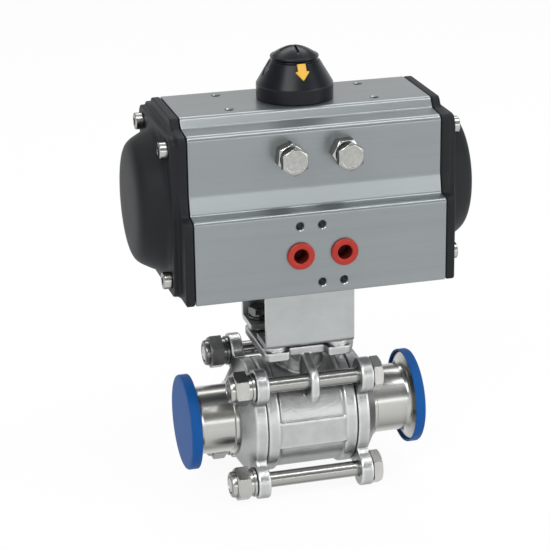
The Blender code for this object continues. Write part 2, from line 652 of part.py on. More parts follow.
def make_end_cap(name, side):
    near, far = sorted((side * COLLAR_START, side * COLLAR_END))
    cap = flat(f"{name}_end_cap", [body_section()], near, far, turn=SECTION)
    ease_edges(cap, CAP_EDGE)
    middle = ACTUATOR_BOTTOM + (BODY_HEIGHT - SHOULDER_DEPTH) / 2
    centre = (0, middle)
    outline = rounded_box(CAP_FLANGE_HALF_WIDTH, CAP_FLANGE_HALF_HEIGHT, CAP_FLANGE_CORNER, centre=centre)
    near, far = sorted((side * (COLLAR_END - 2 * CAP_EDGE), side * CAP_FACE))
    flange = flat(f"{name}_cap_flange", [outline], near, far, turn=SECTION)
    ease_edges(flange, CAP_EDGE)
    turn = ALONG_X if side > 0 else ALONG_MINUS_X
    spigot_start = COLLAR_START - GAP - SPIGOT_LENGTH
    spigot_end = COLLAR_START + HIDDEN
    spigot = disc(f"{name}_spigot", SPIGOT_RADIUS, spigot_start, spigot_end, FINE_STEPS, (0, 0, BORE_Z), turn)
    fuse(cap, flange, make_dome(f"{name}_dome", side), spigot)
    for number, (y, z) in enumerate(corners_of(CAP_SCREW_SPREAD_Y, CAP_SCREW_SPREAD_Z), 1):
        seat = (side * (CAP_FACE - POCKET_SINK), y, BORE_Z + z)
        depth = CAP_FACE - COLLAR_START + HIDDEN
        drill(cap, f"{name}_pocket_{number}", POCKET_RADIUS, 0, DOME_HEIGHT, COARSE_STEPS, seat, turn)
        radius = CAP_SCREW_RADIUS + GAP
        drill(cap, f"{name}_clear_hole_{number}", radius, -depth, HIDDEN, SMALL_STEPS, seat, turn)
        make_cap_screw(f"{name}_cap_screw_{number}", seat, turn)
    finish(cap, BLACK_CAST)
    seal_end = BODY_END - GAP
    seal = ring(
        f"{name}_cap_seal", BORE_RADIUS - GAP, SPIGOT_RADIUS + GAP, seal_end - SPIGOT_LENGTH + GAP, seal_end,
        FINE_STEPS, (0, 0, BORE_Z), turn)
    finish(seal, SEAL_RUBBER)


def make_cap_screw(name, seat, turn):
    shank = GAP - (CAP_FACE - BODY_END) - CAP_SCREW_GRIP
    top = GAP + CAP_SCREW_HEAD_HEIGHT
    edge = CAP_SCREW_HEAD_HEIGHT / 9
    profile = [
        (0, top), (CAP_SCREW_HEAD_RADIUS - edge, top), (CAP_SCREW_HEAD_RADIUS, top - edge),
        (CAP_SCREW_HEAD_RADIUS, GAP), (CAP_SCREW_RADIUS, GAP), (CAP_SCREW_RADIUS, shank), (0, shank),
    ]
    screw = turned(name, profile, SMALL_STEPS, seat, turn)
    floor = top - CAP_SCREW_SOCKET_DEPTH
    cut(screw, prism(name + "_socket", CAP_SCREW_SOCKET, floor, top + HIDDEN, at=seat, turn=turn))
    finish(screw, POLISHED_STEEL)


def make_bushes():
    inner = TOP_JOURNAL_RADIUS + GAP
    bore_roof = BORE_Z + math.sqrt(BORE_RADIUS ** 2 - (inner + BUSH_WALL) ** 2)
    top = ring("pinion_top_bush", inner + BUSH_WALL, inner, bore_roof, ACTUATOR_TOP - GAP, MEDIUM_STEPS)
    finish(top, BUSH_PLASTIC)
    inner = BOTTOM_JOURNAL_RADIUS + GAP
    outer = inner + BUSH_WALL
    bore_floor = BORE_Z - math.sqrt(BORE_RADIUS ** 2 - outer ** 2)
    bottom = ring("pinion_bottom_bush", outer, inner, ACTUATOR_BOTTOM + GAP, bore_floor, MEDIUM_STEPS)
    finish(bottom, BUSH_PLASTIC)


def make_stops():
    edge = 0.7 * MM
    for name, side in sides():
        wall = (side * STOP_SPACING / 2, 0, STOP_Z)
        low = FLANK_HALF_WIDTH + GAP
        high = STOP_NUT_FACE
        nut = prism(f"{name}_stop_nut", STOP_NUT_FLATS, low, high, at=wall, turn=TO_FRONT, edge=edge)
        radius = STOP_RADIUS + GAP
        drill(nut, f"{name}_nut_hole", radius, low - HIDDEN, high + HIDDEN, SMALL_STEPS, wall, TO_FRONT)
        finish(nut, POLISHED_STEEL)
        tip = CAM_FACE + GAP
        point = STOP_RADIUS / 4
        profile = [
            (0, STOP_HEAD_SEAT + HIDDEN), (STOP_RADIUS, STOP_HEAD_SEAT + HIDDEN), (STOP_RADIUS, tip + point),
            (STOP_RADIUS - point, tip), (0, tip),
        ]
        bolt = turned(f"{name}_stop_bolt", profile, SMALL_STEPS, wall, TO_FRONT)
        low = STOP_HEAD_SEAT
        high = FRONT_REACH
        head = prism(f"{name}_stop_head", STOP_HEAD_FLATS, low, high, at=wall, turn=TO_FRONT, edge=edge)
        fuse(bolt, head)
        finish(bolt, POLISHED_STEEL)


def make_port_plugs():
    for name, side in sides():
        wall = (side * PORT_SPACING / 2, -PAD_FRONT, PORT_Z)
        top = GAP + PLUG_FLANGE_HEIGHT
        floor = PLUG_WALL - PLUG_LENGTH
        profile = [
            (PLUG_HOLE_RADIUS, top), (PLUG_FLANGE_RADIUS - GAP, top), (PLUG_FLANGE_RADIUS, top - GAP),
            (PLUG_FLANGE_RADIUS, GAP), (PORT_RADIUS - GAP, GAP), (PORT_RADIUS - GAP, -PLUG_LENGTH),
            (0, -PLUG_LENGTH), (0, floor), (PLUG_HOLE_RADIUS, floor),
        ]
        finish(turned_cup(f"{name}_port_plug", profile, COARSE_STEPS, wall, TO_FRONT), RED_PLASTIC)


def turned_cup(name, profile, steps, at, turn):
    """A turned cup: the profile starts at its mouth, goes down outside and comes back up inside."""
    start = next(i for i, point in enumerate(profile) if point[0] == 0 and profile[i - 1][0] == 0)
    return turned(name, profile[start:] + profile[:start], steps, at, turn)


# Actuator drive

def involute(angle):
    return math.tan(angle) - angle


def gear_outline():
    """Pinion outline with involute flanks and a tooth on the Y axis."""
    base = PITCH_RADIUS * math.cos(PRESSURE_ANGLE)
    root = PITCH_RADIUS - ADDENDUM - ROOT_CLEARANCE
    half_tooth = math.pi / (2 * PINION_TEETH) - BACKLASH / 4 / PITCH_RADIUS
    flank = []
    for radius in (base, PITCH_RADIUS, TIP_RADIUS):
        lean = half_tooth + involute(PRESSURE_ANGLE) - involute(math.acos(min(1, base / radius)))
        flank.append((radius, lean))
    flank[0] = (root, flank[0][1])
    outline = []
    for tooth in range(PINION_TEETH):
        middle = 2 * math.pi * tooth / PINION_TEETH
        outline += [(r * math.cos(middle - a), r * math.sin(middle - a)) for r, a in flank]
        outline += [(r * math.cos(middle + a), r * math.sin(middle + a)) for r, a in reversed(flank)]
    return outline


def make_pinion():
    shoulder = STOP_Z - CAM_THICKNESS / 2 - GAP
    cam_top = STOP_Z + CAM_THICKNESS / 2 + GAP
    low = BORE_Z - PINION_TOOTH_HEIGHT / 2
    high = BORE_Z + PINION_TOOTH_HEIGHT / 2
    pinion = flat("pinion", [gear_outline()], low, high)
    lower = disc("lower_journal", BOTTOM_JOURNAL_RADIUS, ACTUATOR_BOTTOM + GAP, low + HIDDEN, MEDIUM_STEPS)
    profile = [
        (0, ACTUATOR_TOP + GAP), (TOP_JOURNAL_RADIUS, ACTUATOR_TOP + GAP), (TOP_JOURNAL_RADIUS, shoulder),
        (PINION_NECK_RADIUS, shoulder), (PINION_NECK_RADIUS, high - HIDDEN), (0, high - HIDDEN),
    ]
    upper = turned("upper_journal", profile, MEDIUM_STEPS)
    cam_seat = flat("cam_seat", [double_d(CAM_SEAT_RADIUS, CAM_SEAT_FLAT)], shoulder - HIDDEN, cam_top)
    tip = ACTUATOR_TOP + SPINDLE_LENGTH
    spindle = flat("spindle", [double_d(SPINDLE_RADIUS, SPINDLE_FLAT)], ACTUATOR_TOP - HIDDEN, tip)
    fuse(pinion, lower, upper, cam_seat, spindle)
    socket_low = ACTUATOR_BOTTOM - HIDDEN
    socket_high = ACTUATOR_BOTTOM + SQUARE_LENGTH + 2 * GAP
    turn = (0, 0, math.pi / 4)
    cut(pinion, prism("drive_socket", SQUARE + 2 * GAP, socket_low, socket_high, sides=4, turn=turn))
    stalk_floor = tip - SPINDLE_LENGTH / 2 - HIDDEN
    radius = CAP_STALK_RADIUS + GAP
    drill(pinion, "stalk_hole", radius, stalk_floor, tip + HIDDEN, SMALL_STEPS, (0, 0, 0))
    return finish(pinion, PLATED_STEEL)


def make_stop_cam():
    """A quarter disc whose two straight faces meet the stop bolts at 0 and 90 degrees."""
    start = -math.asin(CAM_FACE / CAM_RADIUS)
    rim = arc((0, 0), CAM_RADIUS, start, math.pi / 2 - start, COARSE_STEPS)
    inset = CAM_CORNER - CAM_FACE
    outline = rim + arc((inset, inset), CAM_CORNER, math.pi, 1.5 * math.pi, 3)
    hole = double_d(CAM_SEAT_RADIUS + GAP, CAM_SEAT_FLAT + GAP)
    cam = flat("stop_cam", [outline, hole], STOP_Z - CAM_THICKNESS / 2, STOP_Z + CAM_THICKNESS / 2)
    return finish(cam, PLATED_STEEL)


def rack_gaps():
    """The spaces between the teeth of the left piston's rack, in plan, as (x, y) outlines."""
    tooth_half = TOOTH_PITCH / 4 - BACKLASH / 4
    lean = math.tan(PRESSURE_ANGLE)
    tip = PITCH_RADIUS - ADDENDUM - HIDDEN
    root_half = TOOTH_PITCH / 2 - tooth_half - (RACK_ROOT - PITCH_RADIUS) * lean
    tip_half = TOOTH_PITCH / 2 - tooth_half + (PITCH_RADIUS - tip) * lean
    gaps = []
    for number in range(RACK_TEETH + 1):
        middle = (number - 2) * TOOTH_PITCH
        gaps.append([
            (middle - tip_half, tip), (middle + tip_half, tip),
            (middle + root_half, RACK_ROOT), (middle - root_half, RACK_ROOT),
        ])
    return gaps


def make_piston(name, turn):
    """A piston drawn on the left, or turned half round for the right."""
    crown_outer = -CROWN_INNER - PISTON_CROWN
    middle = -CROWN_INNER - PISTON_CROWN / 2
    floor = PISTON_RADIUS - PISTON_GROOVE_DEPTH
    edge = 0.8 * MM
    profile = [
        (0, -CROWN_INNER), (PISTON_RADIUS, -CROWN_INNER), (PISTON_RADIUS, middle + PISTON_GROOVE_WIDTH / 2),
        (floor, middle + PISTON_GROOVE_WIDTH / 2), (floor, middle - PISTON_GROOVE_WIDTH / 2),
        (PISTON_RADIUS, middle - PISTON_GROOVE_WIDTH / 2), (PISTON_RADIUS, crown_outer + edge),
        (PISTON_RADIUS - edge, crown_outer), (0, crown_outer),
    ]
    arm_low = (-CROWN_INNER - ARM_ROOT, PITCH_RADIUS - ADDENDUM, BORE_Z - RACK_HEIGHT / 2)
    arm = block(f"{name}_rack", arm_low, (RACK_END, BORE_RADIUS, BORE_Z + RACK_HEIGHT / 2))
    lining_end = RACK_END + HIDDEN
    radius = PISTON_RADIUS - GAP
    centre = (0, 0, BORE_Z)
    lining = disc(f"{name}_lining", radius, crown_outer, lining_end, FINE_STEPS, centre, ALONG_X)
    combine(arm, lining, "INTERSECT")
    reach = RACK_HEIGHT / 2 + HIDDEN
    gaps = flat(f"{name}_rack_gaps", rack_gaps(), BORE_Z - reach, BORE_Z + reach)
    cut(arm, gaps)
    piston = turned(f"{name}_piston", profile, FINE_STEPS, (0, 0, BORE_Z), ALONG_X)
    fuse(piston, arm)
    ring_half = PISTON_GROOVE_WIDTH / 2 - GAP
    seal = ring(
        f"{name}_piston_seal", BORE_RADIUS - GAP, floor + GAP, middle - ring_half, middle + ring_half,
        FINE_STEPS, (0, 0, BORE_Z), ALONG_X)
    if turn:
        half_turn = bpy.data.objects.new(f"{name}_half_turn", None)
        half_turn.parent = stem_axis
        half_turn.rotation_euler = (0, 0, turn)
        parts.objects.link(half_turn)
        for thing in (piston, arm, lining, gaps, seal):
            thing.parent = half_turn
    finish(piston, ANODISED)
    finish(seal, SEAL_RUBBER)


def arrow_outline(grow):
    """An arrow along local -Y, grown by the same amount all round."""
    head = ARROW_HEAD_WIDTH / 2 + grow
    tail = ARROW_TAIL_WIDTH / 2 + grow
    top = ARROW_LENGTH / 2 + grow
    neck = -ARROW_LENGTH / 2 + ARROW_HEAD_LENGTH + grow
    tip = -ARROW_LENGTH / 2 - grow * 1.6
    return [(-tail, top), (-tail, neck), (-head, neck), (0, tip), (head, neck), (tail, neck), (tail, top)]


def make_indicator():
    floor = ACTUATOR_TOP + GAP
    roof = floor + INDICATOR_ROOF
    neck = floor + INDICATOR_NECK_LEVEL
    hub_roof = ACTUATOR_TOP + SPINDLE_LENGTH + GAP
    groove = 1.1 * MM
    skirt_top = floor + INDICATOR_SKIRT
    cavity = floor + INDICATOR_SKIRT - SKIRT_WALL
    profile = [
        (CAP_STALK_RADIUS + GAP, roof), (INDICATOR_NECK_RADIUS - groove, roof),
        (INDICATOR_NECK_RADIUS - groove, neck), (INDICATOR_NECK_RADIUS, neck),
        (INDICATOR_RADIUS, skirt_top), (INDICATOR_RADIUS, floor), (INDICATOR_RADIUS - SKIRT_WALL, floor),
        (INDICATOR_RADIUS - SKIRT_WALL, cavity), (CAP_STALK_RADIUS + GAP, cavity),
    ]
    indicator = turned("position_indicator", profile, FINE_STEPS)
    socket = [double_d(SPINDLE_RADIUS + GAP, SPINDLE_FLAT + GAP)]
    cut(indicator, flat("spindle_socket", socket, floor - HIDDEN, hub_roof))
    rise = INDICATOR_NECK_LEVEL - INDICATOR_SKIRT
    run = INDICATOR_RADIUS - INDICATOR_NECK_RADIUS
    slope = math.atan2(rise, run)
    level = ACTUATOR_TOP + ARROW_LEVEL
    centre_out = INDICATOR_RADIUS - (level - skirt_top) * run / rise
    for name, quarter in (("front", 0), ("right", 1), ("back", 2), ("left", 3)):
        heading = quarter * math.pi / 2
        spot = (centre_out * math.sin(heading), -centre_out * math.cos(heading), level)
        lean = (slope, 0, heading)
        depth = -ARROW_THICKNESS + ARROW_PROUD
        pocket = flat(f"{name}_pocket", [arrow_outline(GAP)], depth - GAP, 2 * HIDDEN, spot, lean)
        cut(indicator, pocket)
        if quarter in (0, 2):
            arrow = flat(f"{name}_arrow", [arrow_outline(0)], depth, ARROW_PROUD, spot, lean)
            finish(arrow, YELLOW_PLASTIC)
    finish(indicator, BLACK_PLASTIC)
    return roof


def make_indicator_cap(seat):
    low = seat + GAP
    edge = low + CAP_DISC_EDGE
    crown = low + CAP_DISC_HEIGHT
    stalk = ACTUATOR_TOP + SPINDLE_LENGTH / 2
    dome = []
    for share in (0.35, 0.62, 0.84):
        radius = CAP_DISC_RADIUS * share
        dome.append((radius, crown - (crown - edge) * share ** CAP_DISC_SWELL))
    profile = [(0, crown)] + dome + [
        (CAP_DISC_RADIUS, edge), (CAP_DISC_RADIUS - 0.8 * MM, low), (CAP_STALK_RADIUS, low),
        (CAP_STALK_RADIUS, stalk), (0, stalk),
    ]
    cap = turned("indicator_cap", profile, MEDIUM_STEPS)
    slot_floor = crown - CAP_SLOT_DEPTH
    half = CAP_SLOT_WIDTH / 2
    for number in range(2):
        low_corner = (-CAP_DISC_RADIUS * 1.1, -half, slot_floor)
        high_corner = (CAP_DISC_RADIUS * 1.1, half, crown + HIDDEN)
        turn = (0, 0, math.radians(90 * number))
        cut(cap, block(f"cap_slot_{number}", low_corner, high_corner, turn=turn))
    return finish(cap, BLACK_PLASTIC)


# Bracket

def make_bracket():
    half = BRACKET_WIDTH / 2
    lip = LIP_GAP / 2
    outline = softened([(-half, LIP_BOTTOM, BEND_RADIUS), (-half, BRACKET_TOP, BEND_RADIUS),
                        (half, BRACKET_TOP, BEND_RADIUS), (half, LIP_BOTTOM, BEND_RADIUS)], 3)
    fold = [(-lip, LIP_BOTTOM)] + outline + [(lip, LIP_BOTTOM)]
    mesh = bpy.data.meshes.new("mounting_bracket")
    shape = bmesh.new()
    near = [shape.verts.new((y, z, -BRACKET_LENGTH / 2)) for y, z in fold]
    edges = [shape.edges.new(pair) for pair in zip(near, near[1:])]
    grown = bmesh.ops.extrude_edge_only(shape, edges=edges)
    far = [item for item in grown["geom"] if isinstance(item, bmesh.types.BMVert)]
    bmesh.ops.translate(shape, verts=far, vec=(0, 0, BRACKET_LENGTH))
    shape.to_mesh(mesh)
    shape.free()
    bracket = set_down("mounting_bracket", mesh, (0, 0, 0), SECTION)
    wall = bracket.modifiers.new("sheet", "SOLIDIFY")
    wall.thickness = SHEET
    wall.offset = -1
    wall.use_even_offset = True
    under = LIP_BOTTOM - HIDDEN
    over = LIP_BOTTOM + SHEET + HIDDEN
    drill(bracket, "gland_hole", LIP_HOLE_RADIUS, under, over, MEDIUM_STEPS, (0, 0, 0))
    under_top = BRACKET_TOP - SHEET - HIDDEN
    over_top = BRACKET_TOP + HIDDEN
    drill(bracket, "spigot_hole", TOP_HOLE_RADIUS, under_top, over_top, MEDIUM_STEPS, (0, 0, 0))
    for number, (x, y) in enumerate(corners_of(FLANGE_PATTERN, FLANGE_PATTERN), 1):
        drill(bracket, f"lip_hole_{number}", M6_RADIUS + GAP, under, over, SMALL_STEPS, (x, y, 0))
        drill(bracket, f"plate_hole_{number}", M6_RADIUS + GAP, under_top, over_top, SMALL_STEPS, (x, y, 0))
    return finish(bracket, SHEET_STEEL)


def make_m6_bolt(name, at, turn, grip):
    """A hexagon bolt with a flat and a spring washer, seated on local z = 0 and pointing down."""
    washer = GAP + M6_WASHER_HEIGHT
    spring = washer + M6_SPRING_HEIGHT
    top = spring + M6_HEAD_HEIGHT
    profile = [
        (0, spring + HIDDEN), (M6_SPRING_RADIUS, spring + HIDDEN), (M6_SPRING_RADIUS, washer),
        (M6_WASHER_RADIUS, washer), (M6_WASHER_RADIUS, GAP), (M6_RADIUS, GAP), (M6_RADIUS, -grip), (0, -grip),
    ]
    bolt = turned(name, profile, COARSE_STEPS, at, turn)
    head = prism(name + "_head", M6_HEAD_FLATS, spring, top, at=at, turn=turn, edge=0.6 * MM)
    fuse(bolt, head)
    finish(bolt, POLISHED_STEEL)


def make_bracket_bolts():
    for number, (x, y) in enumerate(corners_of(FLANGE_PATTERN, FLANGE_PATTERN), 1):
        lower_grip = SHEET + GAP + BOSS_HEIGHT + PAD_THICKNESS + 1.2 * MM
        make_m6_bolt(f"bracket_bolt_{number}", (x, y, LIP_BOTTOM + SHEET), (0, 0, 0), lower_grip)
        upper_grip = SHEET + GAP + M6_DEPTH
        make_m6_bolt(f"actuator_bolt_{number}", (x, y, BRACKET_TOP - SHEET), (math.pi, 0, 0), upper_grip)


# Coupling between pinion and stem

def gland_top():
    return PAD_TOP + GAP + GLAND_HEIGHT


def stem_top():
    return PAD_TOP + STEM_LENGTH_ABOVE_PAD


def make_coupling():
    low = gland_top() + COUPLING_CLEARANCE
    shoulder = ACTUATOR_BOTTOM - GAP
    edge = 0.8 * MM
    profile = [
        (0, shoulder), (COUPLING_RADIUS - edge, shoulder), (COUPLING_RADIUS, shoulder - edge),
        (COUPLING_RADIUS, low + edge), (COUPLING_RADIUS - edge, low), (0, low),
    ]
    coupling = turned("drive_coupling", profile, MEDIUM_STEPS)
    square_top = ACTUATOR_BOTTOM + SQUARE_LENGTH
    square = prism("drive_square", SQUARE, shoulder - HIDDEN, square_top, sides=4, turn=(0, 0, math.pi / 4))
    fuse(coupling, square)
    hole = flat("stem_socket", [double_d(STEM_RADIUS + GAP, STEM_FLAT + GAP)], low - HIDDEN, stem_top() + GAP)
    cut(coupling, hole)
    return finish(coupling, POLISHED_STEEL)


# Valve

def ear_plate():
    """Outline of an end piece's flange: a disc with four ears, blended by small fillets."""
    ear_distance = EAR_SPACING / math.sqrt(2)
    reach = DISC_RADIUS + EAR_FILLET
    span = EAR_RADIUS + EAR_FILLET
    lean = math.acos((reach ** 2 + ear_distance ** 2 - span ** 2) / (2 * reach * ear_distance))
    tilt = math.acos((span ** 2 + ear_distance ** 2 - reach ** 2) / (2 * span * ear_distance))
    outline = []
    for quarter in range(4):
        heading = math.pi / 4 + quarter * math.pi / 2
        ear = (ear_distance * math.cos(heading), ear_distance * math.sin(heading))
        before = heading - lean
        after = heading + lean
        fillet = (reach * math.cos(before), reach * math.sin(before))
        outline += fillet_arc(fillet, (0, 0), ear)
        outline += arc(ear, EAR_RADIUS, heading - math.pi + tilt, heading + math.pi - tilt, 8)[1:-1]
        fillet = (reach * math.cos(after), reach * math.sin(after))
        outline += fillet_arc(fillet, ear, (0, 0))
        next_before = heading + math.pi / 2 - lean
        outline += arc((0, 0), DISC_RADIUS, after, next_before, 4)[1:-1]
    return outline


def fillet_arc(centre, first, second):
    """A concave arc from the point nearest to one circle's centre to the point nearest to another's."""
    start = math.atan2(first[1] - centre[1], first[0] - centre[0])
    end = math.atan2(second[1] - centre[1], second[0] - centre[0])
    sweep = (end - start + math.pi) % (2 * math.pi) - math.pi
    return arc(centre, EAR_FILLET, start, start + sweep, 2)


def make_end_piece(name, side):
    turn = ALONG_X if side > 0 else ALONG_MINUS_X
    centre = (0, 0, FLOW_Z)
    disc_face = END_PIECE_FACE + DISC_THICKNESS
    hub_end = disc_face + HUB_LENGTH
    collar_end = hub_end + HUB_COLLAR_WIDTH
    rim = FERRULE_FACE - FERRULE_RIM
    taper = rim - (FERRULE_RADIUS - TUBE_RADIUS) * math.tan(FERRULE_TAPER)
    edge = 0.5 * MM
    profile = [
        (0, FERRULE_FACE), (GROOVE_RADIUS - GROOVE_HALF_WIDTH, FERRULE_FACE),
        (GROOVE_RADIUS, FERRULE_FACE - GROOVE_DEPTH), (GROOVE_RADIUS + GROOVE_HALF_WIDTH, FERRULE_FACE),
        (FERRULE_RADIUS, FERRULE_FACE), (FERRULE_RADIUS, rim),
    ]
    before = (FERRULE_RADIUS, rim)
    after = (TUBE_RADIUS, collar_end)
    profile += rounded_corner(before, (TUBE_RADIUS, taper), after, FERRULE_FILLET)
    profile += [
        (TUBE_RADIUS, collar_end), (HUB_COLLAR_RADIUS, collar_end - edge),
        (HUB_COLLAR_RADIUS, hub_end), (HUB_RADIUS, hub_end - edge), (DISC_RADIUS - edge, disc_face - edge),
        (DISC_RADIUS - edge, disc_face - HIDDEN), (0, disc_face - HIDDEN),
    ]
    piece = turned(f"{name}_end_piece", profile, FINE_STEPS, centre, turn)
    near, far = sorted((side * END_PIECE_FACE, side * disc_face))
    fuse(piece, flat(f"{name}_flange", [ear_plate()], near, far, centre, SECTION))
    for number, (y, z) in enumerate(corners_of(EAR_SPACING, EAR_SPACING), 1):
        ear = (0, y, FLOW_Z + z)
        base = END_PIECE_FACE + EAR_RIM
        top = EAR_FACE + HIDDEN
        fuse(piece, disc(f"{name}_ear_{number}", EAR_RADIUS - EAR_RIM, base, top, COARSE_STEPS, ear, turn))
        radius = EAR_RADIUS + EAR_RIM
        drill(piece, f"{name}_ear_seat_{number}", radius, EAR_FACE, hub_end, COARSE_STEPS, ear, turn)
        radius = ROD_RADIUS + GAP
        low = END_PIECE_FACE - HIDDEN
        drill(piece, f"{name}_ear_hole_{number}", radius, low, top, SMALL_STEPS, ear, turn)
    bore = [
        (0, FERRULE_FACE + HIDDEN), (TUBE_BORE, FERRULE_FACE + HIDDEN), (TUBE_BORE, hub_end),
        (END_BORE, disc_face), (END_BORE, END_PIECE_FACE - HIDDEN), (0, END_PIECE_FACE - HIDDEN),
    ]
    cut(piece, turned(f"{name}_flow_bore", bore, FINE_STEPS, centre, turn))
    return finish(piece, CAST_STEEL)


def make_body_bolts():
    edge = 0.9 * MM
    flats = ROD_HEAD_FLATS
    for number, (y, z) in enumerate(corners_of(EAR_SPACING, EAR_SPACING), 1):
        axis = (0, y, FLOW_Z + z)
        seat = EAR_FACE + GAP
        washer = seat + ROD_WASHER_HEIGHT
        spring = washer + ROD_SPRING_HEIGHT
        hexagon = spring + NUT_HEX_HEIGHT
        end = hexagon + NUT_COLLAR_HEIGHT
        rod_end = end - ROD_RADIUS / 8
        bolt = disc(f"body_bolt_{number}", ROD_RADIUS, -rod_end, seat + HIDDEN, SMALL_STEPS, axis, ALONG_X)
        head = seat + ROD_HEAD_HEIGHT
        fuse(bolt, prism(f"body_bolt_head_{number}", flats, seat, head, at=axis, turn=ALONG_X, edge=edge))
        finish(bolt, POLISHED_STEEL)
        nut_bore = ROD_RADIUS + GAP
        profile = [
            (nut_bore, end), (NUT_COLLAR_RADIUS, end), (NUT_COLLAR_RADIUS, spring + HIDDEN),
            (ROD_SPRING_RADIUS, spring + HIDDEN), (ROD_SPRING_RADIUS, washer), (ROD_WASHER_RADIUS, washer),
            (ROD_WASHER_RADIUS, seat), (nut_bore, seat),
        ]
        nut = turned(f"body_nut_{number}", profile, COARSE_STEPS, axis, ALONG_MINUS_X)
        turn = ALONG_MINUS_X
        ring_name = f"body_nut_hex_{number}"
        hex_ring = prism(ring_name, flats, spring, hexagon, at=axis, turn=turn, edge=edge)
        low = spring - HIDDEN
        high = hexagon + HIDDEN
        drill(hex_ring, f"body_nut_hole_{number}", nut_bore + MM, low, high, COARSE_STEPS, axis, turn)
        fuse(nut, hex_ring)
        finish(nut, POLISHED_STEEL)


def make_dust_cap(name, side):
    turn = ALONG_X if side > 0 else ALONG_MINUS_X
    floor = FERRULE_FACE + GAP
    face = floor + DUST_CAP_FLOOR
    inner = FERRULE_RADIUS + GAP
    outer = inner + DUST_CAP_WALL
    edge = 0.6 * MM
    profile = [
        (0, face), (outer - edge, face), (outer, face - edge), (outer, floor - DUST_CAP_DEPTH),
        (inner, floor - DUST_CAP_DEPTH), (inner, floor), (0, floor),
    ]
    return finish(turned(f"{name}_dust_cap", profile, FINE_STEPS, (0, 0, FLOW_Z), turn), BLUE_PLASTIC)


def pad_outline():
    """The mounting pad: a square plate with the middle of its front and back set in."""
    x = PAD_LENGTH / 2
    y = PAD_WIDTH / 2
    notch = PAD_NOTCH_LENGTH / 2
    inner = y - PAD_NOTCH_DEPTH
    slant = 1.2 * MM
    half = [
        (x, y, PAD_CORNER), (notch + slant, y, 1.2 * MM), (notch, inner, 1.0 * MM), (-notch, inner, 1.0 * MM),
        (-notch - slant, y, 1.2 * MM), (-x, y, PAD_CORNER),
    ]
    return softened(half + [(-a, -b, r) for a, b, r in half])


def make_lug(name, direction):
    """A lug under the pad that carries one upper body bolt, with the web that ties it to the pad."""
    rod = EAR_SPACING / 2
    pad_under = PAD_LEVEL - PAD_THICKNESS
    half = LUG_THICKNESS / 2
    nose = [(rod + LUG_RADIUS * math.cos(a), rod + LUG_RADIUS * math.sin(a))
            for a in [math.pi / 2 - i * math.pi / 10 for i in range(6)]]
    low = rod - LUG_RADIUS - LUG_TOE
    foot = [(rod + LUG_RADIUS, rod - LUG_DROP), (rod + LUG_RADIUS - LUG_TOE, low), (rod - LUG_RADIUS * 0.4, low)]
    inner = PAD_WIDTH / 4
    outline = [(inner, pad_under + HIDDEN), (PAD_WIDTH / 2 - PAD_NOTCH_DEPTH - HIDDEN, pad_under + HIDDEN)]
    outline += nose + foot + [(inner, rod - LUG_RADIUS)]
    outline = [(direction * y, FLOW_Z + z) for y, z in outline]
    lug = flat(name, [outline], -half, half, turn=SECTION)
    web_half = PAD_NOTCH_LENGTH / 2 - 0.5 * MM
    web = block(name + "_web", (-web_half, 0, 0), (web_half, 1, 1))
    top = FLOW_Z + pad_under + HIDDEN
    bottom = FLOW_Z + pad_under - WEB_HEIGHT
    near = NECK_RADIUS * 0.6
    far = PAD_WIDTH / 2 - PAD_NOTCH_DEPTH - HIDDEN
    for vert in web.data.vertices:
        outer = vert.co.y > 0.5
        upper = vert.co.z > 0.5
        spread = 1 if upper else (half + GAP) / web_half
        reach = far if upper else far - WEB_LEAN
        vert.co = (vert.co.x * spread, direction * (reach if outer else near), top if upper else bottom)
    shape = bmesh.new()
    shape.from_mesh(web.data)
    bmesh.ops.recalc_face_normals(shape, faces=shape.faces)
    shape.to_mesh(web.data)
    shape.free()
    return lug, web


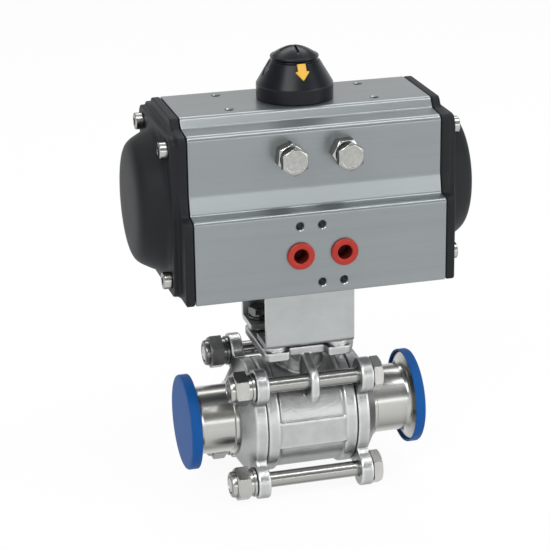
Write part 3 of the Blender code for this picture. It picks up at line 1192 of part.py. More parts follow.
def make_valve_body():
    rim_start = BODY_HALF_LENGTH - RIM_WIDTH
    blend = RIM_RADIUS - BARREL_RADIUS
    profile = [
        (0, BODY_HALF_LENGTH), (RIM_RADIUS, BODY_HALF_LENGTH), (RIM_RADIUS, rim_start + blend / 2),
        (BARREL_RADIUS, rim_start), (BARREL_RADIUS, -rim_start), (RIM_RADIUS, -rim_start - blend / 2),
        (RIM_RADIUS, -BODY_HALF_LENGTH), (0, -BODY_HALF_LENGTH),
    ]
    body = turned("valve_body", profile, FINE_STEPS, (0, 0, FLOW_Z), ALONG_X)
    panel_low = (-rim_start - HIDDEN, -BARREL_RADIUS - PANEL_PROUD, FLOW_Z - PANEL_DROP - PANEL_HEIGHT / 2)
    panel_high = (rim_start + HIDDEN, -NECK_RADIUS, FLOW_Z - PANEL_DROP + PANEL_HEIGHT / 2)
    pad_under = PAD_TOP - PAD_THICKNESS
    neck = disc("neck", NECK_RADIUS, FLOW_Z, pad_under + HIDDEN, MEDIUM_STEPS)
    pad = flat("pad", [pad_outline()], pad_under, PAD_TOP)
    fuse(body, block("panel", panel_low, panel_high), neck, pad)
    for name, direction in (("front_lug", -1), ("back_lug", 1)):
        lug, web = make_lug(name, direction)
        fuse(body, web, lug)
    reach = BODY_HALF_LENGTH + HIDDEN
    for number, (y, z) in enumerate(corners_of(EAR_SPACING, EAR_SPACING), 1):
        axis = (0, y, FLOW_Z + z)
        drill(body, f"rod_way_{number}", ROD_RADIUS + GAP, -reach, reach, COARSE_STEPS, axis, ALONG_X)
    for number, (x, y) in enumerate(corners_of(FLANGE_PATTERN, FLANGE_PATTERN), 1):
        boss_top = PAD_TOP + BOSS_HEIGHT
        fuse(body, disc(f"boss_{number}", BOSS_RADIUS, PAD_TOP - HIDDEN, boss_top, COARSE_STEPS, (x, y, 0)))
        low = pad_under - HIDDEN
        high = PAD_TOP + BOSS_HEIGHT + HIDDEN
        drill(body, f"pad_hole_{number}", M6_RADIUS + GAP, low, high, SMALL_STEPS, (x, y, 0))
    drill(body, "cavity", CAVITY_RADIUS, -reach, reach, FINE_STEPS, (0, 0, FLOW_Z), ALONG_X)
    collar_top = ball_top() + 2 * GAP + STEM_COLLAR_HEIGHT + GAP
    drill(body, "collar_recess", STEM_COLLAR_RADIUS + GAP, FLOW_Z, collar_top, MEDIUM_STEPS, (0, 0, 0))
    drill(body, "stem_hole", STEM_RADIUS + GAP, FLOW_Z, PAD_TOP + HIDDEN, MEDIUM_STEPS, (0, 0, 0))
    packing_floor = PAD_TOP - PACKING_HEIGHT - FOLLOWER_HEIGHT - GAP
    radius = STEM_COLLAR_RADIUS + GAP
    drill(body, "packing_box", radius, packing_floor, PAD_TOP + HIDDEN, MEDIUM_STEPS, (0, 0, 0))
    return finish(body, CAST_STEEL)


def ball_top():
    return FLOW_Z + BALL_RADIUS


def make_ball():
    """A ball with its bore across the flow and the stem's slot along it."""
    mouth = math.asin(BALL_BORE / BALL_RADIUS)
    steps = 8
    profile = []
    for i in range(steps + 1):
        angle = mouth + (math.pi - 2 * mouth) * i / steps
        profile.append((BALL_RADIUS * math.sin(angle), BALL_RADIUS * math.cos(angle)))
    ball = turned("ball", profile, ROUND_STEPS, (0, 0, FLOW_Z), TO_FRONT)
    low = (-BALL_RADIUS, -BALL_SLOT_WIDTH / 2, ball_top() - BALL_SLOT_DEPTH)
    high = (BALL_RADIUS, BALL_SLOT_WIDTH / 2, ball_top() + HIDDEN)
    cut(ball, block("ball_slot", low, high))
    return finish(ball, POLISHED_STEEL)


def make_seat(name, side):
    """A seat ring with a spherical face towards the ball."""
    turn = ALONG_X if side > 0 else ALONG_MINUS_X
    face = BALL_RADIUS + GAP
    outer = CAVITY_RADIUS - GAP
    start = BODY_HALF_LENGTH - SEAT_WIDTH
    widest = math.sqrt(face ** 2 - start ** 2)
    steps = 3
    curve = []
    for i in range(steps + 1):
        radius = widest + (END_BORE - widest) * i / steps
        curve.append((radius, math.sqrt(face ** 2 - radius ** 2)))
    profile = [(END_BORE, BODY_HALF_LENGTH), (outer, BODY_HALF_LENGTH), (outer, start)] + curve
    return finish(turned(f"{name}_seat", profile, ROUND_STEPS, (0, 0, FLOW_Z), turn), SEAT_PLASTIC)


def make_stem():
    collar_low = ball_top() + 2 * GAP
    collar_top = collar_low + STEM_COLLAR_HEIGHT
    flats_low = gland_top() + COUPLING_CLEARANCE / 2
    profile = [
        (0, stem_top()), (STEM_RADIUS, stem_top()), (STEM_RADIUS, collar_top),
        (STEM_COLLAR_RADIUS, collar_top), (STEM_COLLAR_RADIUS, collar_low), (0, collar_low),
    ]
    stem = turned("stem", profile, MEDIUM_STEPS)
    half = BALL_SLOT_WIDTH / 2 - GAP
    tang_low = (-TANG_LENGTH / 2, -half, ball_top() - BALL_SLOT_DEPTH + GAP)
    fuse(stem, block("tang", tang_low, (TANG_LENGTH / 2, half, collar_low + HIDDEN)))
    for name, y in (("front_flat", -STEM_RADIUS - STEM_FLAT), ("back_flat", STEM_FLAT)):
        low = (-STEM_RADIUS - HIDDEN, y, flats_low)
        high = (STEM_RADIUS + HIDDEN, y + STEM_RADIUS, stem_top() + HIDDEN)
        cut(stem, block(name, low, high))
    return finish(stem, POLISHED_STEEL)


def make_gland():
    inner = STEM_RADIUS + GAP
    outer = STEM_COLLAR_RADIUS
    follower = PAD_TOP - FOLLOWER_HEIGHT
    packing = ring("stem_packing", outer, inner, follower - PACKING_HEIGHT, follower - GAP, MEDIUM_STEPS)
    finish(packing, SEAT_PLASTIC)
    nut = ring("gland_nut", outer, inner, follower, gland_top(), MEDIUM_STEPS)
    hexagon = prism("gland_hex", GLAND_FLATS, PAD_TOP + GAP, gland_top() - GAP, edge=0.8 * MM)
    low = PAD_TOP - HIDDEN
    high = gland_top() + HIDDEN
    drill(hexagon, "gland_hex_hole", inner + MM, low, high, MEDIUM_STEPS, (0, 0, 0))
    fuse(nut, hexagon)
    finish(nut, POLISHED_STEEL)


make_actuator_body()
for cap_name, cap_side in sides():
    make_end_cap(cap_name, cap_side)
make_bushes()
make_stops()
make_port_plugs()
make_pinion()
make_stop_cam()
make_piston("left", 0)
make_piston("right", math.pi)
make_indicator_cap(make_indicator())
make_bracket()
make_bracket_bolts()
make_coupling()
make_valve_body()
for piece_name, piece_side in sides():
    make_end_piece(piece_name, piece_side)
    make_seat(piece_name, piece_side)
    make_dust_cap(piece_name, piece_side)
make_ball()
make_stem()
make_gland()
make_body_bolts()

for part in parts.objects:
    if part.type == "MESH":
        part.data.shade_smooth()
        part.data.set_sharp_from_angle(angle=math.radians(35))
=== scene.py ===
# %% [markdown]
# # Pneumatic ball valve
#
# The real object is a stainless ball valve for clean pipework, turned by an air-driven actuator.
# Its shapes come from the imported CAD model. This script gives every visible piece its real edges
# and surface: most CAD solids are drawn with few facets, so the pieces that show are modelled
# again here at the same size, and the rest keep their CAD mesh with a proper material.

# %% Load the frame
import math

import bmesh
import bpy
from mathutils import Matrix, Vector


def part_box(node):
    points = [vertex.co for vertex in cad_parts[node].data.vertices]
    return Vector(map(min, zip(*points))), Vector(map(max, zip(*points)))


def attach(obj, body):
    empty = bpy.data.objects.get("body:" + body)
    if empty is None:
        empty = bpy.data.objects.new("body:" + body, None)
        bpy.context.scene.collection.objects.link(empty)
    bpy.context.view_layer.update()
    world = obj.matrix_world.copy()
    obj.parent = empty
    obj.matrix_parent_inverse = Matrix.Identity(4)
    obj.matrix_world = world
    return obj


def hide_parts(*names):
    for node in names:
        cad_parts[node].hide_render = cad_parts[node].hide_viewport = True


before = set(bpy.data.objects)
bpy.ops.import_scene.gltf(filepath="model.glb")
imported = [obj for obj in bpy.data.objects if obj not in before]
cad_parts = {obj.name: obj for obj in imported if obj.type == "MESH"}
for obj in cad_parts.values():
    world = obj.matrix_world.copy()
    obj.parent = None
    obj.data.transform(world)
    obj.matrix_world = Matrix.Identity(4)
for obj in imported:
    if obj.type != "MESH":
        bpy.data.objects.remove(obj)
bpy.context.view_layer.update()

# %% [markdown]
# ## Reading sizes from the CAD
#
# A piece fits only if its size comes from what it sits on. Each box below is the lowest and
# highest corner of a CAD solid, so the new pieces follow the model if it changes.

# %% Sizes from the frame
MM = 0.001


def middle_of(node):
    low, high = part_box(node)
    return (low + high) / 2


body_low, body_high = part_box("actuator_body")
stem_y = middle_of("stem").y
flow_z = middle_of("left_dust_cap").z
stop_z = middle_of("left_stop_nut").z
port_z = middle_of("left_port_plug").z
print("stem axis at y", round(stem_y, 4), "flow axis at z", round(flow_z, 4))

# %% [markdown]
# ## Camera
#
# The photograph was taken from the left front, a little above, with a long lens. Its place was
# worked out from the object's own corners: the ends of the actuator and of the two tubes.

# %% Camera
LENS_MM = 133.6
SENSOR_MM = 36.0
CAMERA_FROM_TOP_FACE = Vector((-288.2, -1022.9, 284.3)) * MM
CAMERA_AZIMUTH = math.radians(-15.088)
CAMERA_ELEVATION = math.radians(19.975)
CAMERA_ROLL = math.radians(-0.862)


def place_camera():
    camera = bpy.data.objects.new("camera", bpy.data.cameras.new("camera"))
    bpy.context.scene.collection.objects.link(camera)
    camera.data.lens = LENS_MM
    camera.data.sensor_width = SENSOR_MM
    camera.data.clip_start = 0.05
    camera.data.clip_end = 50
    right = Vector((math.cos(CAMERA_AZIMUTH), math.sin(CAMERA_AZIMUTH), 0))
    back = Vector((math.sin(CAMERA_AZIMUTH) * math.cos(CAMERA_ELEVATION),
                   -math.cos(CAMERA_AZIMUTH) * math.cos(CAMERA_ELEVATION),
                   math.sin(CAMERA_ELEVATION)))
    up = back.cross(right)
    turned_right = right * math.cos(CAMERA_ROLL) + up * math.sin(CAMERA_ROLL)
    turned_up = up * math.cos(CAMERA_ROLL) - right * math.sin(CAMERA_ROLL)
    camera.matrix_world = Matrix((
        (turned_right.x, turned_up.x, back.x, 0),
        (turned_right.y, turned_up.y, back.y, 0),
        (turned_right.z, turned_up.z, back.z, 0),
        (0, 0, 0, 1),
    ))
    camera.location = Vector((0, stem_y, body_high.z)) + CAMERA_FROM_TOP_FACE
    bpy.context.scene.camera = camera
    print("camera", [round(v, 3) for v in camera.location])


place_camera()

# %% [markdown]
# ## Floor, light and background
#
# Metal shows what stands around it, so a studio is built from soft lamps and a world of greys. The
# camera and the metal see a white backdrop all round with a darker ceiling, which gives polished
# steel its bands, while a dimmer room lights the rest. The floor is white paper that glows for the
# camera and the metal, and keeps the object's shadow.

# %% Node helpers
def add_node(tree, kind, place=(0, 0), **values):
    """Add a shader node, set its properties and inputs by name, and return it."""
    node = tree.nodes.new(kind)
    node.location = (place[0] * 190, place[1] * 190)
    for key, value in values.items():
        socket = node.inputs.get(key.replace("_", " "))
        if hasattr(node, key):
            setattr(node, key, value)
        elif socket is not None:
            socket.default_value = value
        else:
            node.inputs[int(key.split("_")[-1])].default_value = value
    return node


def wire(tree, *pairs):
    """Join outputs to inputs: each pair is ((node, output), (node, input))."""
    for (source, output), (target, goal) in pairs:
        tree.links.new(source.outputs[output], target.inputs[goal])


def set_greys(ramp, greys):
    """Give a ramp its stops from (position, grey) pairs in rising order."""
    stops = ramp.color_ramp.elements
    for position, _ in greys[1:-1]:
        stops.new(position)
    for stop, (position, grey) in zip(stops, greys):
        stop.position, stop.color = position, (grey, grey, grey, 1)


def seen_directly(tree, place):
    """A value of 1 where the camera, a mirror or a glass looks at a surface, and 0 for its light."""
    path = add_node(tree, "ShaderNodeLightPath", (place[0] - 2, place[1]))
    shiny = add_node(tree, "ShaderNodeMath", (place[0] - 1, place[1]), operation="ADD")
    seen = add_node(tree, "ShaderNodeMath", place, operation="ADD", use_clamp=True)
    wire(tree,
         ((path, "Is Camera Ray"), (shiny, 0)), ((path, "Is Glossy Ray"), (shiny, 1)),
         ((shiny, "Value"), (seen, 0)), ((path, "Is Transmission Ray"), (seen, 1)))
    return seen


# %% World
ROOM_LIGHT = ((0.0, 0.85), (0.47, 0.80), (0.55, 0.62), (0.64, 0.30), (0.78, 0.45), (0.90, 0.85), (1.0, 0.42))
BACKDROP = ((0.0, 1.0), (0.60, 1.0), (0.66, 0.50), (0.73, 0.20), (0.82, 0.28), (0.92, 0.75), (1.0, 0.60))


def sky_shades(tree, height, greys, place):
    """Greys from straight below to straight above, each given as (position, grey)."""
    shades = add_node(tree, "ShaderNodeValToRGB", place)
    set_greys(shades, greys)
    wire(tree, ((height, "Result"), (shades, "Fac")))
    return shades


def build_world():
    world = bpy.data.worlds.new("studio")
    bpy.context.scene.world = world
    world.use_nodes = True
    tree = world.node_tree
    tree.nodes.clear()
    place = add_node(tree, "ShaderNodeTexCoord", (0, 0))
    split = add_node(tree, "ShaderNodeSeparateXYZ", (1, 0))
    height = add_node(tree, "ShaderNodeMapRange", (2, 0), From_Min=-1.0, From_Max=1.0)
    wire(tree, ((place, "Generated"), (split, "Vector")), ((split, "Z"), (height, "Value")))
    room = add_node(tree, "ShaderNodeBackground", (4, 0), Strength=0.75)
    backdrop = add_node(tree, "ShaderNodeBackground", (4, -1), Strength=1.0)
    seen = seen_directly(tree, (4, 1))
    mix = add_node(tree, "ShaderNodeMixShader", (5, 0))
    out = add_node(tree, "ShaderNodeOutputWorld", (6, 0))
    wire(tree,
         ((sky_shades(tree, height, ROOM_LIGHT, (3, 0)), "Color"), (room, "Color")),
         ((sky_shades(tree, height, BACKDROP, (3, -1)), "Color"), (backdrop, "Color")),
         ((seen, "Value"), (mix, 0)), ((room, "Background"), (mix, 1)),
         ((backdrop, "Background"), (mix, 2)), ((mix, "Shader"), (out, "Surface")))


build_world()

# %% Floor
FLOOR_SIZE = 6.0
FLOOR_GLOW = 0.93


def build_floor():
    bpy.ops.mesh.primitive_plane_add(size=FLOOR_SIZE, location=(0, 0, -0.0005))
    floor = bpy.context.object
    floor.name = "floor"
    paper = bpy.data.materials.new("white_paper")
    paper.use_nodes = True
    tree = paper.node_tree
    tree.nodes.clear()
    grain = add_node(tree, "ShaderNodeTexNoise", (0, 0), Scale=90.0, Detail=3.0)
    tone = add_node(tree, "ShaderNodeMapRange", (1, 0), To_Min=0.90, To_Max=0.94)
    diffuse = add_node(tree, "ShaderNodeBsdfDiffuse", (2, 0))
    glow = add_node(tree, "ShaderNodeEmission", (2, -1), Strength=1.0, Color=(1, 1, 1, 1))
    seen = seen_directly(tree, (2, 1))
    amount = add_node(tree, "ShaderNodeMath", (3, 1), operation="MULTIPLY", _1=FLOOR_GLOW)
    mix = add_node(tree, "ShaderNodeMixShader", (4, 0))
    out = add_node(tree, "ShaderNodeOutputMaterial", (5, 0))
    wire(tree,
         ((grain, "Fac"), (tone, "Value")), ((tone, "Result"), (diffuse, "Color")),
         ((seen, "Value"), (amount, 0)), ((amount, "Value"), (mix, 0)),
         ((diffuse, "BSDF"), (mix, 1)), ((glow, "Emission"), (mix, 2)),
         ((mix, "Shader"), (out, "Surface")))
    floor.data.materials.append(paper)


build_floor()


# %% Lamps
def add_lamp(name, place, target, size, watts):
    lamp = bpy.data.objects.new(name, bpy.data.lights.new(name, "AREA"))
    bpy.context.scene.collection.objects.link(lamp)
    lamp.data.shape = "RECTANGLE"
    lamp.data.size, lamp.data.size_y = size
    lamp.data.energy = watts
    lamp.location = place
    lamp.rotation_euler = (Vector(target) - Vector(place)).to_track_quat("-Z", "Y").to_euler()


middle = Vector((0, 0, 0.12))
add_lamp("key_lamp", (-0.9, -1.1, 1.3), middle, (0.9, 0.7), 12)
add_lamp("fill_lamp", (1.2, -1.0, 0.7), middle, (0.8, 1.0), 6)
add_lamp("rim_lamp", (0.2, 0.9, 1.3), middle, (1.2, 0.5), 7)
add_lamp("edge_lamp", (0.35, -0.52, 1.45), middle, (1.8, 0.16), 7)
add_lamp("front_strip", (0.45, -2.2, 0.50), middle, (2.6, 0.22), 4.5)
bpy.context.scene.view_settings.view_transform = "Standard"

# %% [markdown]
# ## Shared surface effects
#
# Several finishes share the same small effects, so each effect is one node group with named
# sockets. A blasted surface is a fine, even grain. Brushing and polishing leave long scratches in
# one direction. Handling leaves soft, wide blotches. Each group gives out only values and colours,
# and the material itself holds the shader.

# %% Group helper
def new_group(name, inputs, outputs):
    group = bpy.data.node_groups.new(name, "ShaderNodeTree")
    for label, kind, value in inputs:
        socket = group.interface.new_socket(label, in_out="INPUT", socket_type=kind)
        socket.default_value = value
    for label, kind in outputs:
        group.interface.new_socket(label, in_out="OUTPUT", socket_type=kind)
    entry = add_node(group, "NodeGroupInput", (0, 0))
    exit_node = add_node(group, "NodeGroupOutput", (7, 0))
    return group, entry, exit_node


FLOAT, COLOUR = "NodeSocketFloat", "NodeSocketColor"


# %% Grain and blotches
def build_grain_group():
    """Fine grain for the height, wide blotches for colour and roughness."""
    group, entry, exit_node = new_group(
        "grain_and_blotches",
        [("Colour", COLOUR, (0.5, 0.5, 0.5, 1)), ("Grain Scale", FLOAT, 1500.0),
         ("Blotch Scale", FLOAT, 30.0), ("Blotch Amount", FLOAT, 0.08),
         ("Roughness", FLOAT, 0.4), ("Roughness Spread", FLOAT, 0.08)],
        [("Colour", COLOUR), ("Roughness", FLOAT), ("Height", FLOAT)])
    place = add_node(group, "ShaderNodeTexCoord", (0, -2))
    grain = add_node(group, "ShaderNodeTexNoise", (1, 1), Detail=2.0)
    blotch = add_node(group, "ShaderNodeTexNoise", (1, -1), Detail=4.0, Roughness=0.6)
    centred = add_node(group, "ShaderNodeMath", (2, -1), operation="SUBTRACT", _1=0.5)
    tint = add_node(group, "ShaderNodeMath", (3, -1), operation="MULTIPLY_ADD", _2=1.0)
    shade = add_node(group, "ShaderNodeVectorMath", (4, -1), operation="SCALE")
    spread = add_node(group, "ShaderNodeMath", (4, -2), operation="MULTIPLY_ADD")
    wire(group,
         ((place, "Object"), (grain, "Vector")), ((place, "Object"), (blotch, "Vector")),
         ((entry, "Grain Scale"), (grain, "Scale")), ((entry, "Blotch Scale"), (blotch, "Scale")),
         ((blotch, "Fac"), (centred, 0)), ((centred, "Value"), (tint, 0)),
         ((entry, "Blotch Amount"), (tint, 1)),
         ((entry, "Colour"), (shade, 0)), ((tint, "Value"), (shade, "Scale")),
         ((centred, "Value"), (spread, 0)), ((entry, "Roughness Spread"), (spread, 1)),
         ((entry, "Roughness"), (spread, 2)),
         ((shade, "Vector"), (exit_node, "Colour")), ((spread, "Value"), (exit_node, "Roughness")),
         ((grain, "Fac"), (exit_node, "Height")))
    return group


# %% Directional scratches
def build_scratch_group():
    """Long streaks: a noise squeezed across the brushing direction by the stretch of each axis."""
    group, entry, exit_node = new_group(
        "directional_scratches",
        [("Stretch X", FLOAT, 1.0), ("Stretch Y", FLOAT, 1.0), ("Stretch Z", FLOAT, 1.0),
         ("Amount", FLOAT, 0.1)],
        [("Tone", FLOAT), ("Height", FLOAT)])
    place = add_node(group, "ShaderNodeTexCoord", (0, -2))
    stretch = add_node(group, "ShaderNodeCombineXYZ", (1, -1))
    squeezed = add_node(group, "ShaderNodeVectorMath", (2, 0), operation="MULTIPLY")
    streaks = add_node(group, "ShaderNodeTexNoise", (3, 0), Scale=1.0, Detail=5.0, Roughness=0.7)
    centred = add_node(group, "ShaderNodeMath", (4, 0), operation="SUBTRACT", _1=0.5)
    tone = add_node(group, "ShaderNodeMath", (5, 0), operation="MULTIPLY_ADD", _2=1.0)
    wire(group,
         ((entry, "Stretch X"), (stretch, "X")), ((entry, "Stretch Y"), (stretch, "Y")),
         ((entry, "Stretch Z"), (stretch, "Z")), ((place, "Object"), (squeezed, 0)),
         ((stretch, "Vector"), (squeezed, 1)), ((squeezed, "Vector"), (streaks, "Vector")),
         ((streaks, "Fac"), (centred, 0)), ((centred, "Value"), (tone, 0)), ((entry, "Amount"), (tone, 1)),
         ((tone, "Value"), (exit_node, "Tone")), ((streaks, "Fac"), (exit_node, "Height")))
    return group


grain_group = build_grain_group()
scratch_group = build_scratch_group()
print("shared effects", [g.name for g in bpy.data.node_groups])

# %% [markdown]
# ## Finishes
#
# Each finish below starts from the same recipe: a Principled shader whose colour, roughness and
# bump come from the shared groups. What sets them apart is how metallic they are, how rough, how
# coarse the grain is and which way the scratches run. Polished metal also gets painted dark
# reflections: bands darkened into its colour where it slants away from the eye. The casting gets
# painted shade darkened into its hollows, and its edges are painted brighter, partly for wear and
# partly as a painted highlight.

# %% Finish recipe
def make_finish(name, colour, roughness, metallic, grain=1500.0, blotches=30.0, blotch_amount=0.08,
                roughness_spread=0.08, bump=0.05, bump_size=0.00005, gloss=0.5, brushing=None,
                brush_amount=0.1, painted_reflection_bands=None, painted_hollow_shade_and_worn_edges=None):
    finish = bpy.data.materials.new(name)
    finish.use_nodes = True
    tree = finish.node_tree
    shader = tree.nodes["Principled BSDF"]
    shader.inputs["Metallic"].default_value = metallic
    shader.inputs["Specular IOR Level"].default_value = gloss
    surface = add_node(tree, "ShaderNodeGroup", (-4, 0), node_tree=grain_group)
    surface.inputs["Colour"].default_value = (*colour, 1)
    surface.inputs["Grain Scale"].default_value = grain
    surface.inputs["Blotch Scale"].default_value = blotches
    surface.inputs["Blotch Amount"].default_value = blotch_amount
    surface.inputs["Roughness"].default_value = roughness
    surface.inputs["Roughness Spread"].default_value = roughness_spread
    bumped = add_node(tree, "ShaderNodeBump", (-1, -1), Strength=bump, Distance=bump_size)
    wire(tree, ((bumped, "Normal"), (shader, "Normal")))
    if roughness_spread:
        wire(tree, ((surface, "Roughness"), (shader, "Roughness")))
    else:
        shader.inputs["Roughness"].default_value = roughness
    if brushing:
        scratches = add_node(tree, "ShaderNodeGroup", (-4, -2), node_tree=scratch_group)
        for axis, value in zip("XYZ", brushing):
            scratches.inputs["Stretch " + axis].default_value = value
        scratches.inputs["Amount"].default_value = brush_amount
        tinted = add_node(tree, "ShaderNodeVectorMath", (-2, 0), operation="SCALE")
        wire(tree,
             ((surface, "Colour"), (tinted, 0)), ((scratches, "Tone"), (tinted, "Scale")),
             ((tinted, "Vector"), (shader, "Base Color")), ((surface, "Height"), (bumped, "Height")))
    else:
        wire(tree, ((surface, "Colour"), (shader, "Base Color")), ((surface, "Height"), (bumped, "Height")))
    # Painted reflection: the colour is darkened where the surface slants away from the eye, in place of dark
    # surroundings seen in the metal.
    if painted_reflection_bands:
        painted_reflection_facing = add_node(tree, "ShaderNodeLayerWeight", (-3, 2), Blend=0.5)
        shade_by(tree, shader, painted_reflection_facing, "Facing", painted_reflection_bands, 2)
    # Painted shade in hollows and brighter edges: the colour follows the surface's pointiness, darker where
    # it is hollow and lighter on edges, partly wear and partly a painted highlight.
    if painted_hollow_shade_and_worn_edges:
        shape = add_node(tree, "ShaderNodeNewGeometry", (-3, 4))
        shade_by(tree, shader, shape, "Pointiness", painted_hollow_shade_and_worn_edges, 4)
    return finish


def shade_by(tree, shader, source, output, shares, row):
    """Multiply the colour by a share that depends on a value: (value, share) pairs."""
    colour = shader.inputs["Base Color"].links[0].from_socket
    ramp = add_node(tree, "ShaderNodeValToRGB", (-2, row))
    set_greys(ramp, shares)
    shaded = add_node(tree, "ShaderNodeVectorMath", (-1, row), operation="MULTIPLY")
    tree.links.new(colour, shaded.inputs[0])
    wire(tree,
         ((source, output), (ramp, "Fac")), ((ramp, "Color"), (shaded, 1)),
         ((shaded, "Vector"), (shader, "Base Color")))


# %% [markdown]
# The actuator body is an aluminium extrusion, hard-anodised: grey and satin, with faint lines along
# its length. The end caps are cast and coated black. The bracket is stainless sheet with a
# dull rolled face. The valve is investment cast: fine sandy grain, dull, with brighter high spots
# that are partly wear and partly a painted highlight, and painted shade in its hollows.
# The tubes and rods are polished, so they stay smooth with only faint marks around them, and get
# painted dark reflection bands where they slant away. Two darker copies, of the fastener steel and
# of the red plastic, are painted shade for bolts in shadow and for the inside of the plugs.

# %% Finishes
anodised = make_finish("anodised_aluminium", (0.285, 0.309, 0.317), 0.30, 0.82, grain=2600, blotches=9,
                       blotch_amount=0.22, roughness_spread=0.0, bump=0.03, brushing=(3, 160, 160),
                       brush_amount=0.20)
black_coat = make_finish("black_coating", (0.013, 0.015, 0.017), 0.52, 0.0, grain=1800, blotches=22,
                         blotch_amount=0.5, roughness_spread=0.18, bump=0.15, gloss=0.16)
sheet_metal = make_finish("rolled_stainless_sheet", (0.46, 0.48, 0.48), 0.36, 0.90, grain=900, blotches=75,
                          blotch_amount=0.34, bump=0.06, brushing=(14, 500, 500), brush_amount=0.10)
# Painted reflection bands: shares of the colour by how far a surface slants away from the eye, standing in
# for dark surroundings reflected in the metal.
CAST_PAINTED_REFLECTION_BANDS = ((0.0, 1.0), (0.35, 0.92), (0.60, 0.66), (0.80, 0.42), (1.0, 0.30))
# Painted shade in the casting's hollows and brighter edges, partly wear and partly a painted highlight:
# shares of the colour by pointiness.
CAST_PAINTED_HOLLOW_SHADE_AND_WEAR = ((0.43, 0.22), (0.490, 0.82), (0.51, 1.0), (0.56, 1.5))
TUBE_PAINTED_REFLECTION_BANDS = ((0.0, 0.80), (0.08, 1.0), (0.18, 0.92), (0.32, 0.70), (0.46, 0.45), (0.62, 0.80),
              (0.82, 0.95), (1.0, 0.6))
STEEL_PAINTED_REFLECTION_BANDS = ((0.0, 1.0), (0.28, 0.95), (0.50, 0.58), (0.72, 0.30), (1.0, 0.6))
STOP_PAINTED_REFLECTION_BANDS = ((0.0, 1.0), (0.28, 0.90), (0.45, 0.30), (0.72, 0.12), (1.0, 0.5))
cast_metal = make_finish("investment_cast_stainless", (0.58, 0.59, 0.59), 0.34, 0.95, grain=900,
                         blotches=120, blotch_amount=0.42, roughness_spread=0.22, bump=0.9,
                         bump_size=0.00018, painted_reflection_bands=CAST_PAINTED_REFLECTION_BANDS, painted_hollow_shade_and_worn_edges=CAST_PAINTED_HOLLOW_SHADE_AND_WEAR)
tube_metal = make_finish("polished_tube", (0.54, 0.54, 0.515), 0.23, 1.0, grain=2200, blotches=40,
                         blotch_amount=0.14, roughness_spread=0.06, bump=0.02, brushing=(900, 10, 10),
                         brush_amount=0.14, painted_reflection_bands=TUBE_PAINTED_REFLECTION_BANDS)
rod_metal = make_finish("bright_drawn_rod", (0.42, 0.42, 0.405), 0.24, 1.0, grain=2200, blotches=55,
                        blotch_amount=0.16, roughness_spread=0.08, bump=0.03, brushing=(20, 700, 700),
                        brush_amount=0.14, painted_reflection_bands=TUBE_PAINTED_REFLECTION_BANDS)
FASTENER_LOOK = {"grain": 1500, "blotches": 110, "blotch_amount": 0.30, "roughness_spread": 0.16,
                 "bump": 0.2, "bump_size": 0.00012, "painted_reflection_bands": STEEL_PAINTED_REFLECTION_BANDS}
bolt_metal = make_finish("bright_fastener_steel", (0.50, 0.50, 0.48), 0.22, 1.0, **FASTENER_LOOK)
# A darker copy of the fastener steel: painted shade for bolts that stand in shadow inside the bracket and at
# the rear.
painted_shade_bolt_metal = make_finish("painted_shade_bolt_steel", (0.22, 0.22, 0.22), 0.24, 1.0, **FASTENER_LOOK)
head_metal = make_finish("satin_bolt_head", (0.55, 0.55, 0.535), 0.42, 1.0, grain=1500, blotches=90,
                         blotch_amount=0.24, roughness_spread=0.12, bump=0.25, bump_size=0.00012)
stop_bolt_metal = make_finish("stamped_bolt_steel", (0.46, 0.465, 0.44), 0.22, 1.0, grain=1300,
                              blotches=420, blotch_amount=0.6, roughness_spread=0.25, bump=0.35,
                              bump_size=0.00016, painted_reflection_bands=STOP_PAINTED_REFLECTION_BANDS)
black_plastic = make_finish("moulded_black_plastic", (0.006, 0.007, 0.010), 0.30, 0.0, grain=2400,
                            blotches=60, blotch_amount=0.3, roughness_spread=0.1, bump=0.04, gloss=0.26)
yellow_plastic = make_finish("moulded_yellow_plastic", (0.72, 0.42, 0.06), 0.42, 0.0, grain=2400,
                             blotches=90, blotch_amount=0.12, bump=0.04, gloss=0.35)
red_plastic = make_finish("moulded_red_plastic", (0.36, 0.016, 0.007), 0.36, 0.0, grain=2000,
                          blotches=120, blotch_amount=0.2, gloss=0.4)
# A darker copy of the red plastic: painted shade for the inside of each plug's hole.
painted_shade_plug_hole = make_finish("painted_shade_red_plastic", (0.10, 0.010, 0.006), 0.5, 0.0, grain=2000, gloss=0.2)
blue_plastic = make_finish("moulded_blue_plastic", (0.006, 0.082, 0.30), 0.50, 0.0, grain=1600, blotches=50,
                           blotch_amount=0.14, roughness_spread=0.08, bump=0.06, gloss=0.12)
rubber = make_finish("black_rubber", (0.015, 0.015, 0.015), 0.6, 0.0, grain=1500, bump=0.1)
seat_plastic = make_finish("white_seat_plastic", (0.80, 0.80, 0.77), 0.42, 0.0, blotch_amount=0.05)
bush_plastic = make_finish("cream_bush_plastic", (0.62, 0.56, 0.40), 0.45, 0.0)
print("finishes", len([m for m in bpy.data.materials if m.use_nodes]))

# %% [markdown]
# ## Workshop tools
#
# The pieces below are made with the same few moves. A round piece is drawn as half an outline and
# spun about its axis, as on a lathe. A profile of constant section is drawn as a closed outline
# whose corners are bevelled round, then extruded. Holes are booleans, and sharp edges get a small
# bevel, because every real edge is a little rounded and catches a thin line of light.

# %% Selecting and editing
def only(piece):
    bpy.ops.object.select_all(action="DESELECT")
    piece.select_set(True)
    bpy.context.view_layer.objects.active = piece


def start_editing(piece):
    only(piece)
    bpy.ops.object.mode_set(mode="EDIT")


def stop_editing():
    bpy.ops.object.mode_set(mode="OBJECT")


